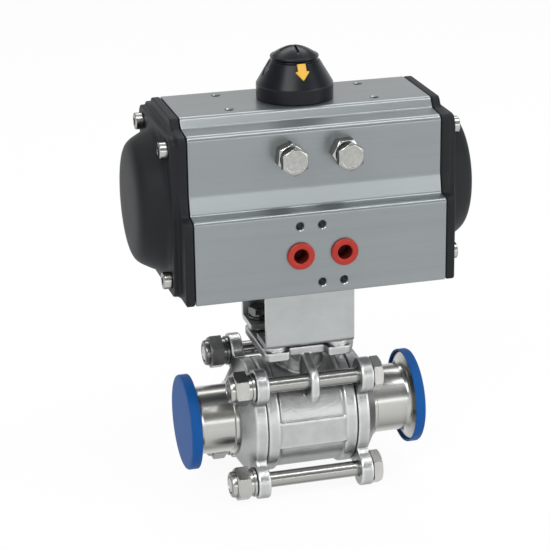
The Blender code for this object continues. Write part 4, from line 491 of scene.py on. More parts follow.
def choose(piece, kind, test):
    """In edit mode, select the vertices, edges or faces whose middle and normal pass a test.

    For an edge, the normal is its direction.
    """
    bpy.ops.mesh.select_mode(type=kind)
    bpy.ops.mesh.select_all(action="DESELECT")
    shape = bmesh.from_edit_mesh(piece.data)
    for item in {"VERT": shape.verts, "EDGE": shape.edges, "FACE": shape.faces}[kind]:
        if kind == "VERT":
            centre, normal = item.co, item.normal
        elif kind == "EDGE":
            start, end = item.verts[0].co, item.verts[1].co
            centre, normal = (start + end) / 2, end - start
        else:
            centre, normal = item.calc_center_median(), item.normal
        if test(centre, normal):
            item.select_set(True)
    shape.select_flush_mode()
    bmesh.update_edit_mesh(piece.data)


def spot(x, y, z):
    """A place in millimetres: x along the flow, y behind the stem axis, z above the floor."""
    return Vector((x * MM, stem_y + y * MM, z * MM))


# %% Drawing a line of points
SAME_PLACE = 0.02 * MM
DOUBLES = 0.004 * MM


def draw_line(name, points):
    """Draw a line: a plane shrunk to one vertex, which is then extruded from point to point."""
    bpy.ops.object.select_all(action="DESELECT")
    bpy.ops.mesh.primitive_plane_add(size=MM, location=(0, 0, 0))
    piece = bpy.context.object
    piece.name = name
    bpy.ops.object.mode_set(mode="EDIT")
    bpy.ops.mesh.select_mode(type="VERT")
    bpy.ops.mesh.select_all(action="SELECT")
    bpy.ops.mesh.merge(type="CENTER")
    bpy.ops.transform.translate(value=points[0])
    for here, there in zip(points, points[1:]):
        bpy.ops.mesh.extrude_vertices_move(TRANSFORM_OT_translate={"value": there - here})
    return piece


# %% Lathe
def lathe(name, profile, steps=96, at=None, turn=(0, 0, 0)):
    """Spin (radius, height) points in millimetres about local Z, then lay the piece in its place."""
    piece = draw_line(name, [Vector((radius, 0, height)) * MM for radius, height in profile])
    bpy.ops.mesh.select_all(action="SELECT")
    bpy.ops.mesh.spin(steps=steps, angle=2 * math.pi, center=(0, 0, 0), axis=(0, 0, 1))
    bpy.ops.mesh.select_all(action="SELECT")
    bpy.ops.mesh.remove_doubles(threshold=DOUBLES)
    bpy.ops.mesh.normals_make_consistent(inside=False)
    stop_editing()
    return lay(piece, at, turn)


def lay(piece, at=None, turn=(0, 0, 0)):
    piece.rotation_euler = turn
    piece.location = at or (0, 0, 0)
    only(piece)
    bpy.ops.object.transform_apply(location=True, rotation=True, scale=True)
    return piece


def bar(name, radius, low, high, steps=40, at=None, turn=(0, 0, 0)):
    """A round bar between two heights, used as a boss or a drill."""
    return lathe(name, [(0, low), (radius, low), (radius, high), (0, high)], steps, at, turn)


ALONG_X = (0, math.pi / 2, 0)
ALONG_MINUS_X = (0, -math.pi / 2, 0)
TO_FRONT = (math.pi / 2, 0, 0)
SIDES = (("left", -1, ALONG_MINUS_X), ("right", 1, ALONG_X))


# %% Extruded outline
def extrude_outline(name, corners, plane, depth, arc_steps=6):
    """Fill an outline of (a, b, corner radius), round its corners and extrude it by a vector.

    The function plane turns (a, b) into a place.
    """
    places = [plane(a, b) for a, b, _ in corners]
    piece = draw_line(name, places + [places[0]])
    bpy.ops.mesh.select_all(action="SELECT")
    bpy.ops.mesh.remove_doubles(threshold=DOUBLES)
    bpy.ops.mesh.select_all(action="SELECT")
    bpy.ops.mesh.edge_face_add()
    for i, (_, _, radius) in enumerate(corners):
        if radius:
            here = places[i]
            back = (places[i - 1] - here).normalized()
            ahead = (places[(i + 1) % len(places)] - here).normalized()
            reach = radius * MM / math.tan(back.angle(ahead) / 2)
            choose(piece, "VERT", lambda centre, _: (centre - here).length < SAME_PLACE)
            bpy.ops.mesh.bevel(offset=reach, segments=arc_steps, affect="VERTICES", clamp_overlap=False)
    bpy.ops.mesh.select_all(action="SELECT")
    bpy.ops.mesh.extrude_region_move(TRANSFORM_OT_translate={"value": depth})
    bpy.ops.mesh.select_all(action="SELECT")
    bpy.ops.mesh.normals_make_consistent(inside=False)
    stop_editing()
    return piece


# %% Cutting, joining and easing edges
def apply_step(piece, kind, **settings):
    """Add a modifier, set it and apply it."""
    only(piece)
    step = piece.modifiers.new(kind.lower(), kind)
    for key, value in settings.items():
        setattr(step, key, value)
    bpy.ops.object.modifier_apply(modifier=step.name)
    return piece


def carve(piece, *tools, how="DIFFERENCE"):
    for tool in tools:
        apply_step(piece, "BOOLEAN", operation=how, object=tool, solver="EXACT")
        bpy.data.objects.remove(tool, do_unlink=True)
    return piece


def ease(piece, width, segments=3, angle=35):
    """Round the sharp edges by a width in millimetres."""
    return apply_step(piece, "BEVEL", width=width * MM, segments=segments, limit_method="ANGLE",
                      angle_limit=math.radians(angle), use_clamp_overlap=True)


def join(pieces, name):
    bpy.ops.object.select_all(action="DESELECT")
    for piece in pieces:
        piece.select_set(True)
    bpy.context.view_layer.objects.active = pieces[0]
    bpy.ops.object.join()
    pieces[0].name = name
    return pieces[0]


def copy_of(pattern, name):
    """A copy of a piece, with a mesh of its own."""
    only(pattern)
    bpy.ops.object.duplicate(linked=False)
    twin = bpy.context.object
    twin.name = name
    return twin


def melt(piece, grid):
    """Remesh a piece finely and smooth it, so that its joins turn into the fillets of a casting."""
    apply_step(piece, "REMESH", mode="VOXEL", voxel_size=grid * MM)
    return apply_step(piece, "SMOOTH", factor=0.5, iterations=3)


def hole(radius, depth, at, turn=(0, 0, 0), mouth=0.0):
    """A drill that enters along local -Z from its place, with an optional chamfered mouth."""
    if not mouth:
        return bar("drill", radius, -depth, 3, 40, at, turn)
    wide = radius + mouth * 1.5
    profile = [(0, -depth), (radius, -depth), (radius, -mouth), (wide, mouth * 0.5), (wide, 3), (0, 3)]
    return lathe("drill", profile, 40, at, turn)


def slab(low, high):
    """A box between two corners, used as a raw block or a cutter."""
    bpy.ops.object.select_all(action="DESELECT")
    bpy.ops.mesh.primitive_cube_add(size=1, location=(low + high) / 2)
    block = bpy.context.object
    block.scale = high - low
    bpy.ops.object.transform_apply(location=True, rotation=True, scale=True)
    return block


def hexagon(name, flats, low, high, at=None, turn=(0, 0, 0), chamfer=True):
    """A hexagonal head: a six-sided bar cut by a cone, so each corner is chamfered in an arc."""
    bpy.ops.object.select_all(action="DESELECT")
    corner = flats / 2 / math.cos(math.pi / 6)
    bpy.ops.mesh.primitive_cylinder_add(
        vertices=6, radius=corner * MM, depth=(high - low) * MM, location=(0, 0, (low + high) / 2 * MM))
    head = bpy.context.object
    head.name = name
    bpy.ops.object.transform_apply(location=True, rotation=True, scale=True)
    if chamfer:
        rim = flats / 2 * 0.94
        wide = corner + 0.4
        drop = (corner - rim) * math.tan(math.radians(30)) + 0.23
        cone = lathe("cone", [(0, high + 0.01), (rim, high + 0.01), (wide, high - drop), (wide, low - 1),
                              (0, low - 1)], 64)
        carve(head, cone, how="INTERSECT")
    ease(head, 0.12, 2, 20)
    return lay(head, at, turn)


# %% Handing a piece over
def hand_over(piece, finish, slot, body, *nodes, angle=32):
    """Give a finished piece its shading, finish and body, and hide the CAD solids it stands for."""
    lay(piece)
    bpy.ops.object.shade_smooth_by_angle(angle=math.radians(angle))
    apply_step(piece, "WEIGHTED_NORMAL", keep_sharp=True)
    piece.data.materials.clear()
    piece.data.materials.append(finish)
    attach(piece, body)
    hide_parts(*nodes)
    return piece


# %% [markdown]
# ## Actuator body
#
# The real body is one aluminium extrusion: every long edge runs straight through, so its outline
# is drawn once and extruded. The top is a raised land, the front flares out to a flat pad for a
# solenoid valve, and all the corners are rounded by the die. Tapped holes are drilled afterwards
# and countersunk, which leaves the small bright rings seen in the photograph.

# %% Outline of the extrusion
TOP_LEVEL = body_high.z / MM
FOOT_LEVEL = body_low.z / MM
BORE_LEVEL = TOP_LEVEL - 50.35
STOP_LEVEL = stop_z / MM
PORT_LEVEL = port_z / MM
HALF_LENGTH = body_high.x / MM
GAP = 0.3
FLANK = 40.35
PAD_FRONT = 51
SHOULDER = TOP_LEVEL - 6.2
LAND_FOOT = TOP_LEVEL - 5.2
OUTLINE = (
    (FLANK, FOOT_LEVEL, 1.5), (FLANK, SHOULDER, 3.0), (26.8, LAND_FOOT, 1.4), (23.3, TOP_LEVEL, 2.8),
    (-23.3, TOP_LEVEL, 2.8), (-26.8, LAND_FOOT, 1.4), (-FLANK, SHOULDER, 3.0),
    (-FLANK, TOP_LEVEL - 38.0, 9.0), (-42.6, TOP_LEVEL - 48.2, 1.6), (-PAD_FRONT, TOP_LEVEL - 48.8, 2.5),
    (-PAD_FRONT, FOOT_LEVEL, 1.2))
print("outline of", len(OUTLINE), "corners, each (y, z, radius) in millimetres")

# %% Body and its holes
BOLT_CORNERS = ((-17.7, -17.7), (17.7, -17.7), (17.7, 17.7), (-17.7, 17.7))
PORT_SPAN = 12
STOP_SPAN = 15


def make_actuator_body():
    body = extrude_outline("actuator_housing", OUTLINE, lambda y, z: spot(-HALF_LENGTH, y, z),
                           Vector((2 * HALF_LENGTH * MM, 0, 0)))
    ease(body, 0.5, 2, 60)
    carve(body, bar("bore", 37, -80, 80, 96, spot(0, 0, BORE_LEVEL), ALONG_X))
    carve(body, lathe("shaft_hole", [
        (0, FOOT_LEVEL - 3), (14.3, FOOT_LEVEL - 3), (14.3, BORE_LEVEL), (10.3, BORE_LEVEL),
        (10.3, TOP_LEVEL + 3), (0, TOP_LEVEL + 3)], 64, spot(0, 0, 0)))
    for x in (-PORT_SPAN, PORT_SPAN):
        carve(body, hole(5.9, 12, spot(x, -PAD_FRONT, PORT_LEVEL), TO_FRONT))
    for x, z in ((-PORT_SPAN, 16), (0, 16), (0, -16), (PORT_SPAN, -16)):
        carve(body, hole(2.1, 9, spot(x, -PAD_FRONT, PORT_LEVEL + z), TO_FRONT, mouth=0.55))
    for x, y in ((-40, -15), (-40, 15), (40, -15), (40, 15)):
        carve(body, hole(2.1, 9, spot(x, y, TOP_LEVEL), mouth=0.55))
    for x in (-STOP_SPAN, STOP_SPAN):
        carve(body, hole(4.2, 33, spot(x, -FLANK, STOP_LEVEL), TO_FRONT))
    for x, y in BOLT_CORNERS:
        carve(body, hole(3.2, 8, spot(x, y, FOOT_LEVEL), (math.pi, 0, 0)))
    return hand_over(body, anodised, "anodised", "housing", "actuator_body")


housing_piece = make_actuator_body()
print("actuator body", len(housing_piece.data.polygons), "faces")

# %% [markdown]
# ## End caps
#
# The end caps are cast aluminium with a thick black coating. A collar follows the body's outline,
# a smaller flange stands on it, and an oval dome rises from the flange, where the piston comes to
# rest. The dome is turned on the lathe like a shallow pan and then stretched upright. The four
# screws sit on round machined spots in the flange's corners. A fine remesh melts everything into
# one skin, and a smoothing pass rounds all the edges at once, as coating and casting do.

# %% Dome
DOME_WIDE, DOME_TALL, DOME_HIGH = 35.6, 39.0, 15.8
DOME_PROFILE = ((1.000, 0.00), (1.000, 0.30), (0.992, 0.50), (0.975, 0.62), (0.950, 0.70), (0.910, 0.76),
                (0.850, 0.81), (0.770, 0.845), (0.660, 0.878), (0.520, 0.91), (0.360, 0.945), (0.220, 0.972),
                (0.110, 0.995), (0.040, 1.025), (0.000, 1.06), (-0.100, 1.06), (-0.100, 0.00))


def make_dome():
    """The pan-shaped dome about local Z. Local X is the one that ends up upright."""
    profile = [(DOME_WIDE * share, DOME_HIGH * height) for height, share in DOME_PROFILE]
    dome = lathe("dome", profile, 128)
    dome.scale = (DOME_TALL / DOME_WIDE, 1, 1)
    return lay(dome)


# %% Whole end cap
CAP_FACE = HALF_LENGTH + 5.3
SCREW_SEAT = CAP_FACE + 3.2
SCREW_CORNERS = ((-30, -35.65), (30, -35.65), (30, 35.65), (-30, 35.65))


def make_end_cap(name, side, turn):
    near, far = (HALF_LENGTH + GAP) * side, CAP_FACE * side
    cap = extrude_outline(name + "_cap_casting", OUTLINE, lambda y, z: spot(near, y, z),
                          Vector(((far - near) * MM, 0, 0)))
    middle = FOOT_LEVEL + 44.3
    edge = [(y, middle + z, 6) for y, z in ((39.4, 43.7), (-39.4, 43.7), (-39.4, -43.7), (39.4, -43.7))]
    start = far - 2 * side
    flange = extrude_outline("flange", edge, lambda y, z: spot(start, y, z),
                             Vector((5.6 * side * MM, 0, 0)))
    dome = lay(make_dome(), spot(far + 3.6 * side, 0, BORE_LEVEL), turn)
    carve(cap, flange, dome, how="UNION")
    for y, z in SCREW_CORNERS:
        carve(cap, lathe("pocket", [(0, 0), (6.0, 0), (6.6, 0.6), (6.6, 20), (0, 20)], 48,
                         spot(SCREW_SEAT * side, y, BORE_LEVEL + z), turn))
    melt(cap, 0.75)
    return hand_over(cap, black_coat, "black_cast", "housing", name + "_end_cap", angle=80)


for side_name, side_sign, side_turn in SIDES:
    cap_piece = make_end_cap(side_name, side_sign, side_turn)
    print(side_name, "end cap", len(cap_piece.data.polygons), "faces")

# %% [markdown]
# ## Socket screws and stop bolts
#
# The caps are held by bright socket-head screws. The cylinder head is turned on the lathe, and its
# hexagonal socket is cut with a six-sided bar. The stop bolts pass through lock nuts on the front
# and limit the valve's travel. Both have flats with arc-shaped chamfers, made by cutting a
# hexagonal bar with a cone.

# %% Cap screws
def make_cap_screws():
    for name, side, turn in SIDES:
        for number, (y, z) in enumerate(SCREW_CORNERS, 1):
            place = spot((SCREW_SEAT + GAP) * side, y, BORE_LEVEL + z)
            screw = lathe(f"{name}_socket_screw_{number}", [
                (0, 4.5), (3.9, 4.5), (4.35, 4.35), (4.6, 4.0), (4.6, 0.2), (4.4, 0), (2.5, 0),
                (2.5, -23.5), (0, -23.5)], 64, place, turn)
            carve(screw, hexagon("socket", 4.2, 1.9, 6, place, turn, chamfer=False))
            ease(screw, 0.1, 2, 50)
            hand_over(screw, bolt_metal, "polished_steel", "housing", f"{name}_cap_screw_{number}")
    print("cap screws", 2 * len(SCREW_CORNERS))


make_cap_screws()


# %% Stop bolts and lock nuts
def make_stops():
    nut_face = FLANK + GAP
    for name, x, twist in (("left", -STOP_SPAN, 6), ("right", STOP_SPAN, 28)):
        wall = spot(x, 0, STOP_LEVEL)
        nut = hexagon(f"{name}_lock_nut", 14, nut_face, nut_face + 6.5, wall,
                      (math.pi / 2, math.radians(twist), 0))
        carve(nut, lathe("nut_hole", [
            (0, 40), (4.2, 40), (4.2, 46.7), (4.8, 47.3), (4.8, 48), (0, 48)], 48, wall, TO_FRONT))
        hand_over(nut, bolt_metal, "polished_steel", "housing", f"{name}_stop_nut")
        head = hexagon(f"{name}_travel_stop", 13.5, 49.65, 54.45, wall, TO_FRONT)
        carve(head, lathe("dish", [(0, 54.15), (5.3, 54.2), (5.6, 54.35), (5.7, 55), (0, 55)], 64, wall,
                          TO_FRONT))
        shank = lathe("shank", [(0, 50), (4.6, 50), (4.6, 49.6), (3.9, 49.4), (3.9, 10.3), (2.9, 9.3),
                                (0, 9.3)], 64, wall, TO_FRONT)
        bolt = join([head, shank], f"{name}_travel_stop")
        hand_over(bolt, stop_bolt_metal, "polished_steel", f"{name}_stop_bolt_body", f"{name}_stop_bolt")


make_stops()
print("stop bolts at z", round(STOP_LEVEL, 2))


# %% Port plugs
def make_port_plugs():
    for name, x in (("left", -PORT_SPAN), ("right", PORT_SPAN)):
        wall = spot(x, -PAD_FRONT - GAP, PORT_LEVEL)
        plug = lathe(f"{name}_transit_plug", [
            (0, -8.2), (3.5, -8.2), (3.8, -1.0), (3.95, 0.9), (4.3, 1.45), (5.2, 1.6), (6.6, 1.55),
            (7.2, 1.3), (7.4, 0.8), (7.35, 0.3), (7.1, 0), (5.6, 0), (5.6, -9), (0, -9)], 72, wall, TO_FRONT)
        hand_over(plug, red_plastic, "red_plastic", f"{name}_port_plug_body", f"{name}_port_plug", angle=50)
        # The faces inside the plug's hole get the darker red: painted shade.
        plug.data.materials.append(painted_shade_plug_hole)
        start_editing(plug)
        choose(plug, "FACE", lambda centre, _: math.hypot(centre.x - wall.x, centre.z - wall.z) < 4 * MM)
        plug.active_material_index = 1
        bpy.ops.object.material_slot_assign()
        stop_editing()


make_port_plugs()
print("port plugs at z", round(PORT_LEVEL, 2))

# %% [markdown]
# ## Position indicator
#
# The indicator is a moulded black cone on a short skirt, with a slotted, domed cap on top. Yellow
# arrows snap into pockets in its flank and show which way the ball's bore lies. The cone is turned
# on the lathe; the pockets are cut with a slightly larger arrow, tilted to lie on the flank, so a
# thin dark gap shows around each arrow as on the real moulding.

# %% Cone and skirt
SKIRT_RADIUS, SKIRT_TOP = 20.8, 7.9
NECK_RADIUS, NECK_LEVEL = 13.5, 20.2
CONE_TALL = 21.0
ARROW_LEVEL = 16.8
FLANK_SLOPE = math.atan2(NECK_LEVEL - SKIRT_TOP, SKIRT_RADIUS - NECK_RADIUS)
ARROW_MIDDLE = SKIRT_RADIUS - (ARROW_LEVEL - GAP - SKIRT_TOP) / math.tan(FLANK_SLOPE)


def arrow_corners(grow):
    """An arrow that points along -y, with each side moved out by a width."""
    head, tail, tip, neck = 4.1 + grow, 2.3 + grow, -4.7 - grow * 1.6, 0.5 + grow
    return [(-tail, 4.7 + grow, 0.3), (-tail, neck, 0.3), (-head, neck, 0.4), (0, tip, 0.4),
            (head, neck, 0.4), (tail, neck, 0.3), (tail, 4.7 + grow, 0.3)]


def arrow_bar(name, grow, low, high, quarter):
    """An arrow-shaped bar on one of the cone's four flanks."""
    bar = extrude_outline(name, arrow_corners(grow), lambda x, y: Vector((x, y, low)) * MM,
                          Vector((0, 0, (high - low) * MM)), arc_steps=3)
    heading = quarter * math.pi / 2
    place = spot(ARROW_MIDDLE * math.sin(heading), -ARROW_MIDDLE * math.cos(heading),
                 TOP_LEVEL + ARROW_LEVEL)
    return lay(bar, place, (FLANK_SLOPE, 0, heading))


def make_indicator():
    cone = lathe("indicator_cone", [
        (3.3, CONE_TALL), (12.0, CONE_TALL), (12.3, 20.8), (12.4, 20.35), (12.9, 20.25), (13.4, 20.1),
        (13.75, 19.8), (20.5, 8.3), (20.75, 7.7), (SKIRT_RADIUS, 7.1), (SKIRT_RADIUS, 0.4), (20.5, 0),
        (19.0, 0), (18.6, 0.3), (18.6, 5.7), (8.4, 5.7), (8.4, 0), (7.4, 0), (7.4, 15.7), (3.3, 15.7),
        (3.3, CONE_TALL)], 128, spot(0, 0, TOP_LEVEL + GAP))
    for quarter, depth in enumerate((1.35, 0.5, 1.35, 0.5)):
        carve(cone, arrow_bar("pocket", 0.3, -depth, 6, quarter))
    ease(cone, 0.18, 2, 40)
    return hand_over(cone, black_plastic, "black_plastic", "drive_train", "position_indicator")


make_indicator()
for side_name, quarter in (("front", 0), ("back", 2)):
    arrow = arrow_bar(side_name + "_pointer", 0, -1.05, 0.35, quarter)
    ease(arrow, 0.15, 2, 40)
    hand_over(arrow, yellow_plastic, "yellow_plastic", "drive_train", side_name + "_arrow")


# %% Slotted cap
def make_indicator_cap():
    base = TOP_LEVEL + GAP + CONE_TALL + GAP
    radius, edge, crown = 13.1, 1.0, 6.57
    dome = [(0, crown)]
    for share in (0.05, 0.12, 0.2, 0.3, 0.4, 0.5, 0.6, 0.7, 0.8, 0.88, 0.94):
        dome.append((radius * share, crown - (crown - edge) * share ** 1.8))
    foot = [(12.75, 1.6), (13.0, 1.25), (13.1, 0.85), (12.95, 0.35), (12.5, 0), (3, 0), (3, -13), (0, -13)]
    centre = spot(0, 0, base)
    cap = lathe("indicator_button", dome + foot, 128, centre)
    for degrees in (0, 90):
        cutter = slab(Vector((-16, -0.7, 4.1)) * MM, Vector((16, 0.7, 9)) * MM)
        carve(cap, lay(cutter, centre, (0, 0, math.radians(degrees))))
    ease(cap, 0.2, 3, 40)
    return hand_over(cap, black_plastic, "black_plastic", "drive_train", "indicator_cap")


make_indicator_cap()

# %% [markdown]
# ## Bracket
#
# The bracket is one strip of stainless sheet, folded four times into a box with its lips turned in
# at the bottom. It is drawn as a bent line whose corners are bevelled, extruded to the strip's
# width, and given the sheet's thickness by Solidify, which is how a real fold behaves. The sheared
# edges are almost sharp, so the bevel on them is very small.

# %% Folded strip
SHEET = 3
FOLD_TOP = FOOT_LEVEL - GAP
FOLD_FOOT = FOLD_TOP - 39.2


def make_bracket():
    fold = [spot(-25, y, z) for y, z in (
        (-6.5, FOLD_FOOT), (-27, FOLD_FOOT), (-27, FOLD_TOP), (27, FOLD_TOP), (27, FOLD_FOOT),
        (6.5, FOLD_FOOT))]
    strip = draw_line("bracket_strip", fold)
    for corner in fold[1:-1]:
        choose(strip, "VERT", lambda centre, _: (centre - corner).length < SAME_PLACE)
        bpy.ops.mesh.bevel(offset=3.6 * MM, segments=10, affect="VERTICES", clamp_overlap=False)
    bpy.ops.mesh.select_all(action="SELECT")
    bpy.ops.mesh.extrude_region_move(TRANSFORM_OT_translate={"value": (50 * MM, 0, 0)})
    bpy.ops.mesh.select_all(action="SELECT")
    bpy.ops.mesh.normals_make_consistent(inside=False)
    stop_editing()
    low, high = strip.bound_box[0][1], strip.bound_box[6][1]
    centre = spot(0, 0, FOLD_TOP - 20)
    side_face = max(strip.data.polygons, key=lambda face: face.area)
    outward = (side_face.center - centre).dot(side_face.normal) > 0
    apply_step(strip, "SOLIDIFY", thickness=SHEET * MM, offset=-1 if outward else 1, use_even_offset=True)
    carve(strip, bar("gland_hole", 12.5, FOLD_FOOT - 2, FOLD_FOOT + 5, 96, spot(0, 0, 0)))
    carve(strip, bar("spigot_hole", 15, FOLD_TOP - 5, FOLD_TOP + 2, 96, spot(0, 0, 0)))
    for x, y in BOLT_CORNERS:
        carve(strip, bar("bolt_holes", 3.25, FOLD_FOOT - 2, FOLD_TOP + 2, 40, spot(x, y, 0)))
    ease(strip, 0.3, 2, 60)
    print("bracket spans", round((high - low) / MM, 1), "mm across")
    return hand_over(strip, sheet_metal, "sheet_steel", "housing", "mounting_bracket")


make_bracket()


# %% M6 bolts
def make_m6_bolts():
    """A bolt with its flat and spring washers, turned once and copied to all eight places."""
    head = hexagon("m6_bolt", 10, 2.7, 6.7)
    shank = lathe("m6_shank", [
        (0, 3), (4.0, 3), (4.0, 2.7), (4.8, 2.62), (4.85, 2.5), (4.85, 1.5), (4.75, 1.4), (5.7, 1.4),
        (6.0, 1.2), (6.0, 0.4), (5.8, 0.3), (2.95, 0.3), (2.95, -9), (0, -9)], 64)
    bolt = join([head, shank], "m6_bolt")
    rows = (("bracket_bolt", FOLD_FOOT + SHEET, 0), ("actuator_bolt", FOLD_TOP - SHEET, math.pi))
    for number, (x, y) in enumerate(BOLT_CORNERS, 1):
        twist = math.radians(37 * number)
        for row, level, flip in rows:
            twin = copy_of(bolt, f"fitted_{row}_{number}")
            lay(twin, spot(x, y, level), (flip, 0, twist))
            # The bolts inside the bracket get the darker steel: painted shade.
            hand_over(twin, painted_shade_bolt_metal, "polished_steel", "housing", f"{row}_{number}")
    bpy.data.objects.remove(bolt, do_unlink=True)
    print("bracket bolts", len(rows) * len(BOLT_CORNERS))


make_m6_bolts()


# %% Coupling and gland nut
def make_coupling():
    centre = spot(0, 0, 0)
    foot = FOOT_LEVEL - GAP
    coupling = lathe("coupling_sleeve", [
        (0, foot), (10.2, foot), (10.8, foot - 0.25), (11, foot - 0.8), (11, 92.7), (10.8, 92.15),
        (10.2, 91.9), (6.3, 91.9), (6.3, 103.3), (0, 103.3)], 96, centre)
    carve(coupling, slab(spot(-5.35, -5.35, foot - 1), spot(5.35, 5.35, foot + 10.7)), how="UNION")
    hand_over(coupling, rod_metal, "polished_steel", "drive_train", "drive_coupling")
    gland = hexagon("gland_hexagon", 19, 83.6, 89.1, centre)
    carve(gland, bar("gland_bore", 6.3, 80, 95, 64, centre))
    return hand_over(gland, bolt_metal, "polished_steel", "housing", "gland_nut")


make_coupling()
print("coupling hangs from z", round(FOOT_LEVEL - GAP, 2))

# %% [markdown]
# ## Valve body
#
# The middle of the valve is an investment casting: a barrel with a rim at each end, a raised panel
# along its side, and a neck that carries a square mounting pad with four bosses. Two lugs under
# the pad hold the upper body bolts. The shapes are joined, remeshed finely and smoothed, so the
# joins become the soft fillets that molten metal and wax leave in a casting.

# %% Pad and lugs
FLOW = flow_z / MM
PAD_TOP = FLOW + 44.9
LUG_TOP = 39.9
ROD_PLACE = 28.4
ROD_CORNERS = ((-ROD_PLACE, -ROD_PLACE), (ROD_PLACE, -ROD_PLACE), (ROD_PLACE, ROD_PLACE),
               (-ROD_PLACE, ROD_PLACE))


def make_pad():
    """A square plate whose front and back are set in at the middle."""
    half = [(24.6, 24.3, 3), (11.2, 24.3, 1.2), (10, 18.3, 1), (-10, 18.3, 1), (-11.2, 24.3, 1.2),
            (-24.6, 24.3, 3)]
    corners = half + [(-x, -y, r) for x, y, r in half]
    return extrude_outline("pad", corners, lambda x, y: spot(x, y, PAD_TOP - 5), Vector((0, 0, 5 * MM)),
                           arc_steps=4)


def make_lug(direction):
    """The lug round an upper bolt, drawn in the (y, z) plane, and the web up to the pad."""
    corners = [(12, LUG_TOP + 1, 0), (18.6, LUG_TOP + 1, 0), (ROD_PLACE, 37.2, 7.0), (37.0, 36.4, 8.0),
               (37.0, 22.4, 2.0), (34.4, 17.2, 1.8), (25.0, 17.2, 2.0), (12, 19.8, 0)]
    lug = extrude_outline("lug", [(direction * y, FLOW + z, r) for y, z, r in corners],
                          lambda y, z: spot(-2.5, y, z), Vector((5 * MM, 0, 0)))
    ease(lug, 1.5, 3, 60)
    near, far = sorted((direction * 8.4, direction * 17.3))
    web = slab(spot(-9.5, near, FLOW + LUG_TOP - 7), spot(9.5, far, FLOW + LUG_TOP + 1))
    start_editing(web)
    choose(web, "FACE", lambda centre, normal: normal.z < -0.9)
    bpy.ops.transform.resize(value=(0.3, 1, 1))
    choose(web, "EDGE", lambda centre, _: centre.z < (FLOW + LUG_TOP - 6) * MM
           and (centre.y - stem_y) * direction > 16 * MM)
    bpy.ops.transform.translate(value=(0, -4.3 * direction * MM, 0))
    stop_editing()
    return lug, web


# %% Barrel, panel and neck
def make_valve_body():
    centre = spot(0, 0, FLOW)
    barrel = lathe("valve_casting", [
        (0, 25.7), (31.6, 25.7), (32.4, 24.9), (32.4, 19.4), (31.6, 18.6), (30.7, 18.2), (30.7, -18.2),
        (31.6, -18.6), (32.4, -19.4), (32.4, -24.9), (31.6, -25.7), (0, -25.7)], 128, centre, ALONG_X)
    panel = slab(spot(-18.9, -31.6, FLOW - 9.4), spot(18.9, -14, FLOW + 5.8))
    ease(panel, 0.5, 2, 60)
    neck = lathe("neck", [
        (0, FLOW), (14, FLOW), (14, PAD_TOP - 9), (14.6, PAD_TOP - 7), (16.5, PAD_TOP - 5.3),
        (18, PAD_TOP - 4.5), (0, PAD_TOP - 4.5)], 96, spot(0, 0, 0))
    carve(barrel, panel, neck, make_pad(), *make_lug(-1), *make_lug(1), how="UNION")
    for x, y in BOLT_CORNERS:
        carve(barrel, bar("boss", 6, PAD_TOP - 1, PAD_TOP + 2.9, 48, spot(x, y, 0)), how="UNION")
    carve(barrel, bar("cavity", 26.6, -27, 27, 96, centre, ALONG_X))
    carve(barrel, lathe("stem_way", [
        (0, FLOW), (9.3, FLOW), (9.3, FLOW + 30), (6.3, FLOW + 30), (6.3, PAD_TOP - 8.4),
        (9.3, PAD_TOP - 8.4), (9.3, PAD_TOP + 2), (0, PAD_TOP + 2)], 64, spot(0, 0, 0)))
    for y in (-ROD_PLACE, ROD_PLACE):
        carve(barrel, bar("rod_way", 4.65, -8, 8, 48, spot(0, y, FLOW + ROD_PLACE), ALONG_X))
    for x, y in BOLT_CORNERS:
        carve(barrel, bar("boss_hole", 3.25, PAD_TOP - 7, PAD_TOP + 4, 40, spot(x, y, 0)))
    melt(barrel, 0.55)
    return hand_over(barrel, cast_metal, "cast_steel", "housing", "valve_body", angle=80)


valve_piece = make_valve_body()
print("valve body", len(valve_piece.data.polygons), "faces")

# %% [markdown]
# ## End pieces
#
# Each end piece starts as a cast flange with four ears, and is then turned: a hub, a narrow collar,
# a polished tube and a clamp ferrule. The flange keeps its cast skin, made like the body's, while
# the turned part is spun on the lathe with crisp steps. The ferrule's face has the groove that
# takes a clamp gasket.

# %% Flange with ears
def make_flange(name, side, turn):
    centre = spot(0, 0, FLOW)
    plate = lathe(name + "_flange", [
        (0, 26), (32.2, 26), (32.5, 26.4), (32.5, 32.1), (32.0, 32.6), (23.2, 38.5), (22.6, 39.0),
        (0, 39.0)], 128, centre, turn)
    near, far = sorted((26.3 * side, 32.6 * side))
    for y, z in ROD_CORNERS:
        ear = lathe("ear", [(0, 26.2), (9.3, 26.2), (9.76, 26.8), (9.76, 32.8), (9.3, 33.4), (0, 33.4)],
                    64, spot(0, y, FLOW + z), turn)
        web = slab(Vector((near, 24.5, -8.2)) * MM, Vector((far, 37, 8.2)) * MM)
        lay(web, centre, (math.atan2(z, y), 0, 0))
        carve(plate, ear, web, how="UNION")
    for y, z in ROD_CORNERS:
        place = spot(0, y, FLOW + z)
        seat = lathe("seat", [(0, 33.35), (10.3, 33.35), (10.7, 34), (10.7, 39.2), (0, 39.2)], 64, place,
                     turn)
        carve(plate, seat, bar("ear_hole", 4.65, 24, 35, 40, place, turn))
    carve(plate, lathe("bore", [(0, 24), (16.8, 24), (16.8, 32.6), (17.8, 39), (17.8, 42), (0, 42)], 96,
                       centre, turn))
    return melt(plate, 0.55)


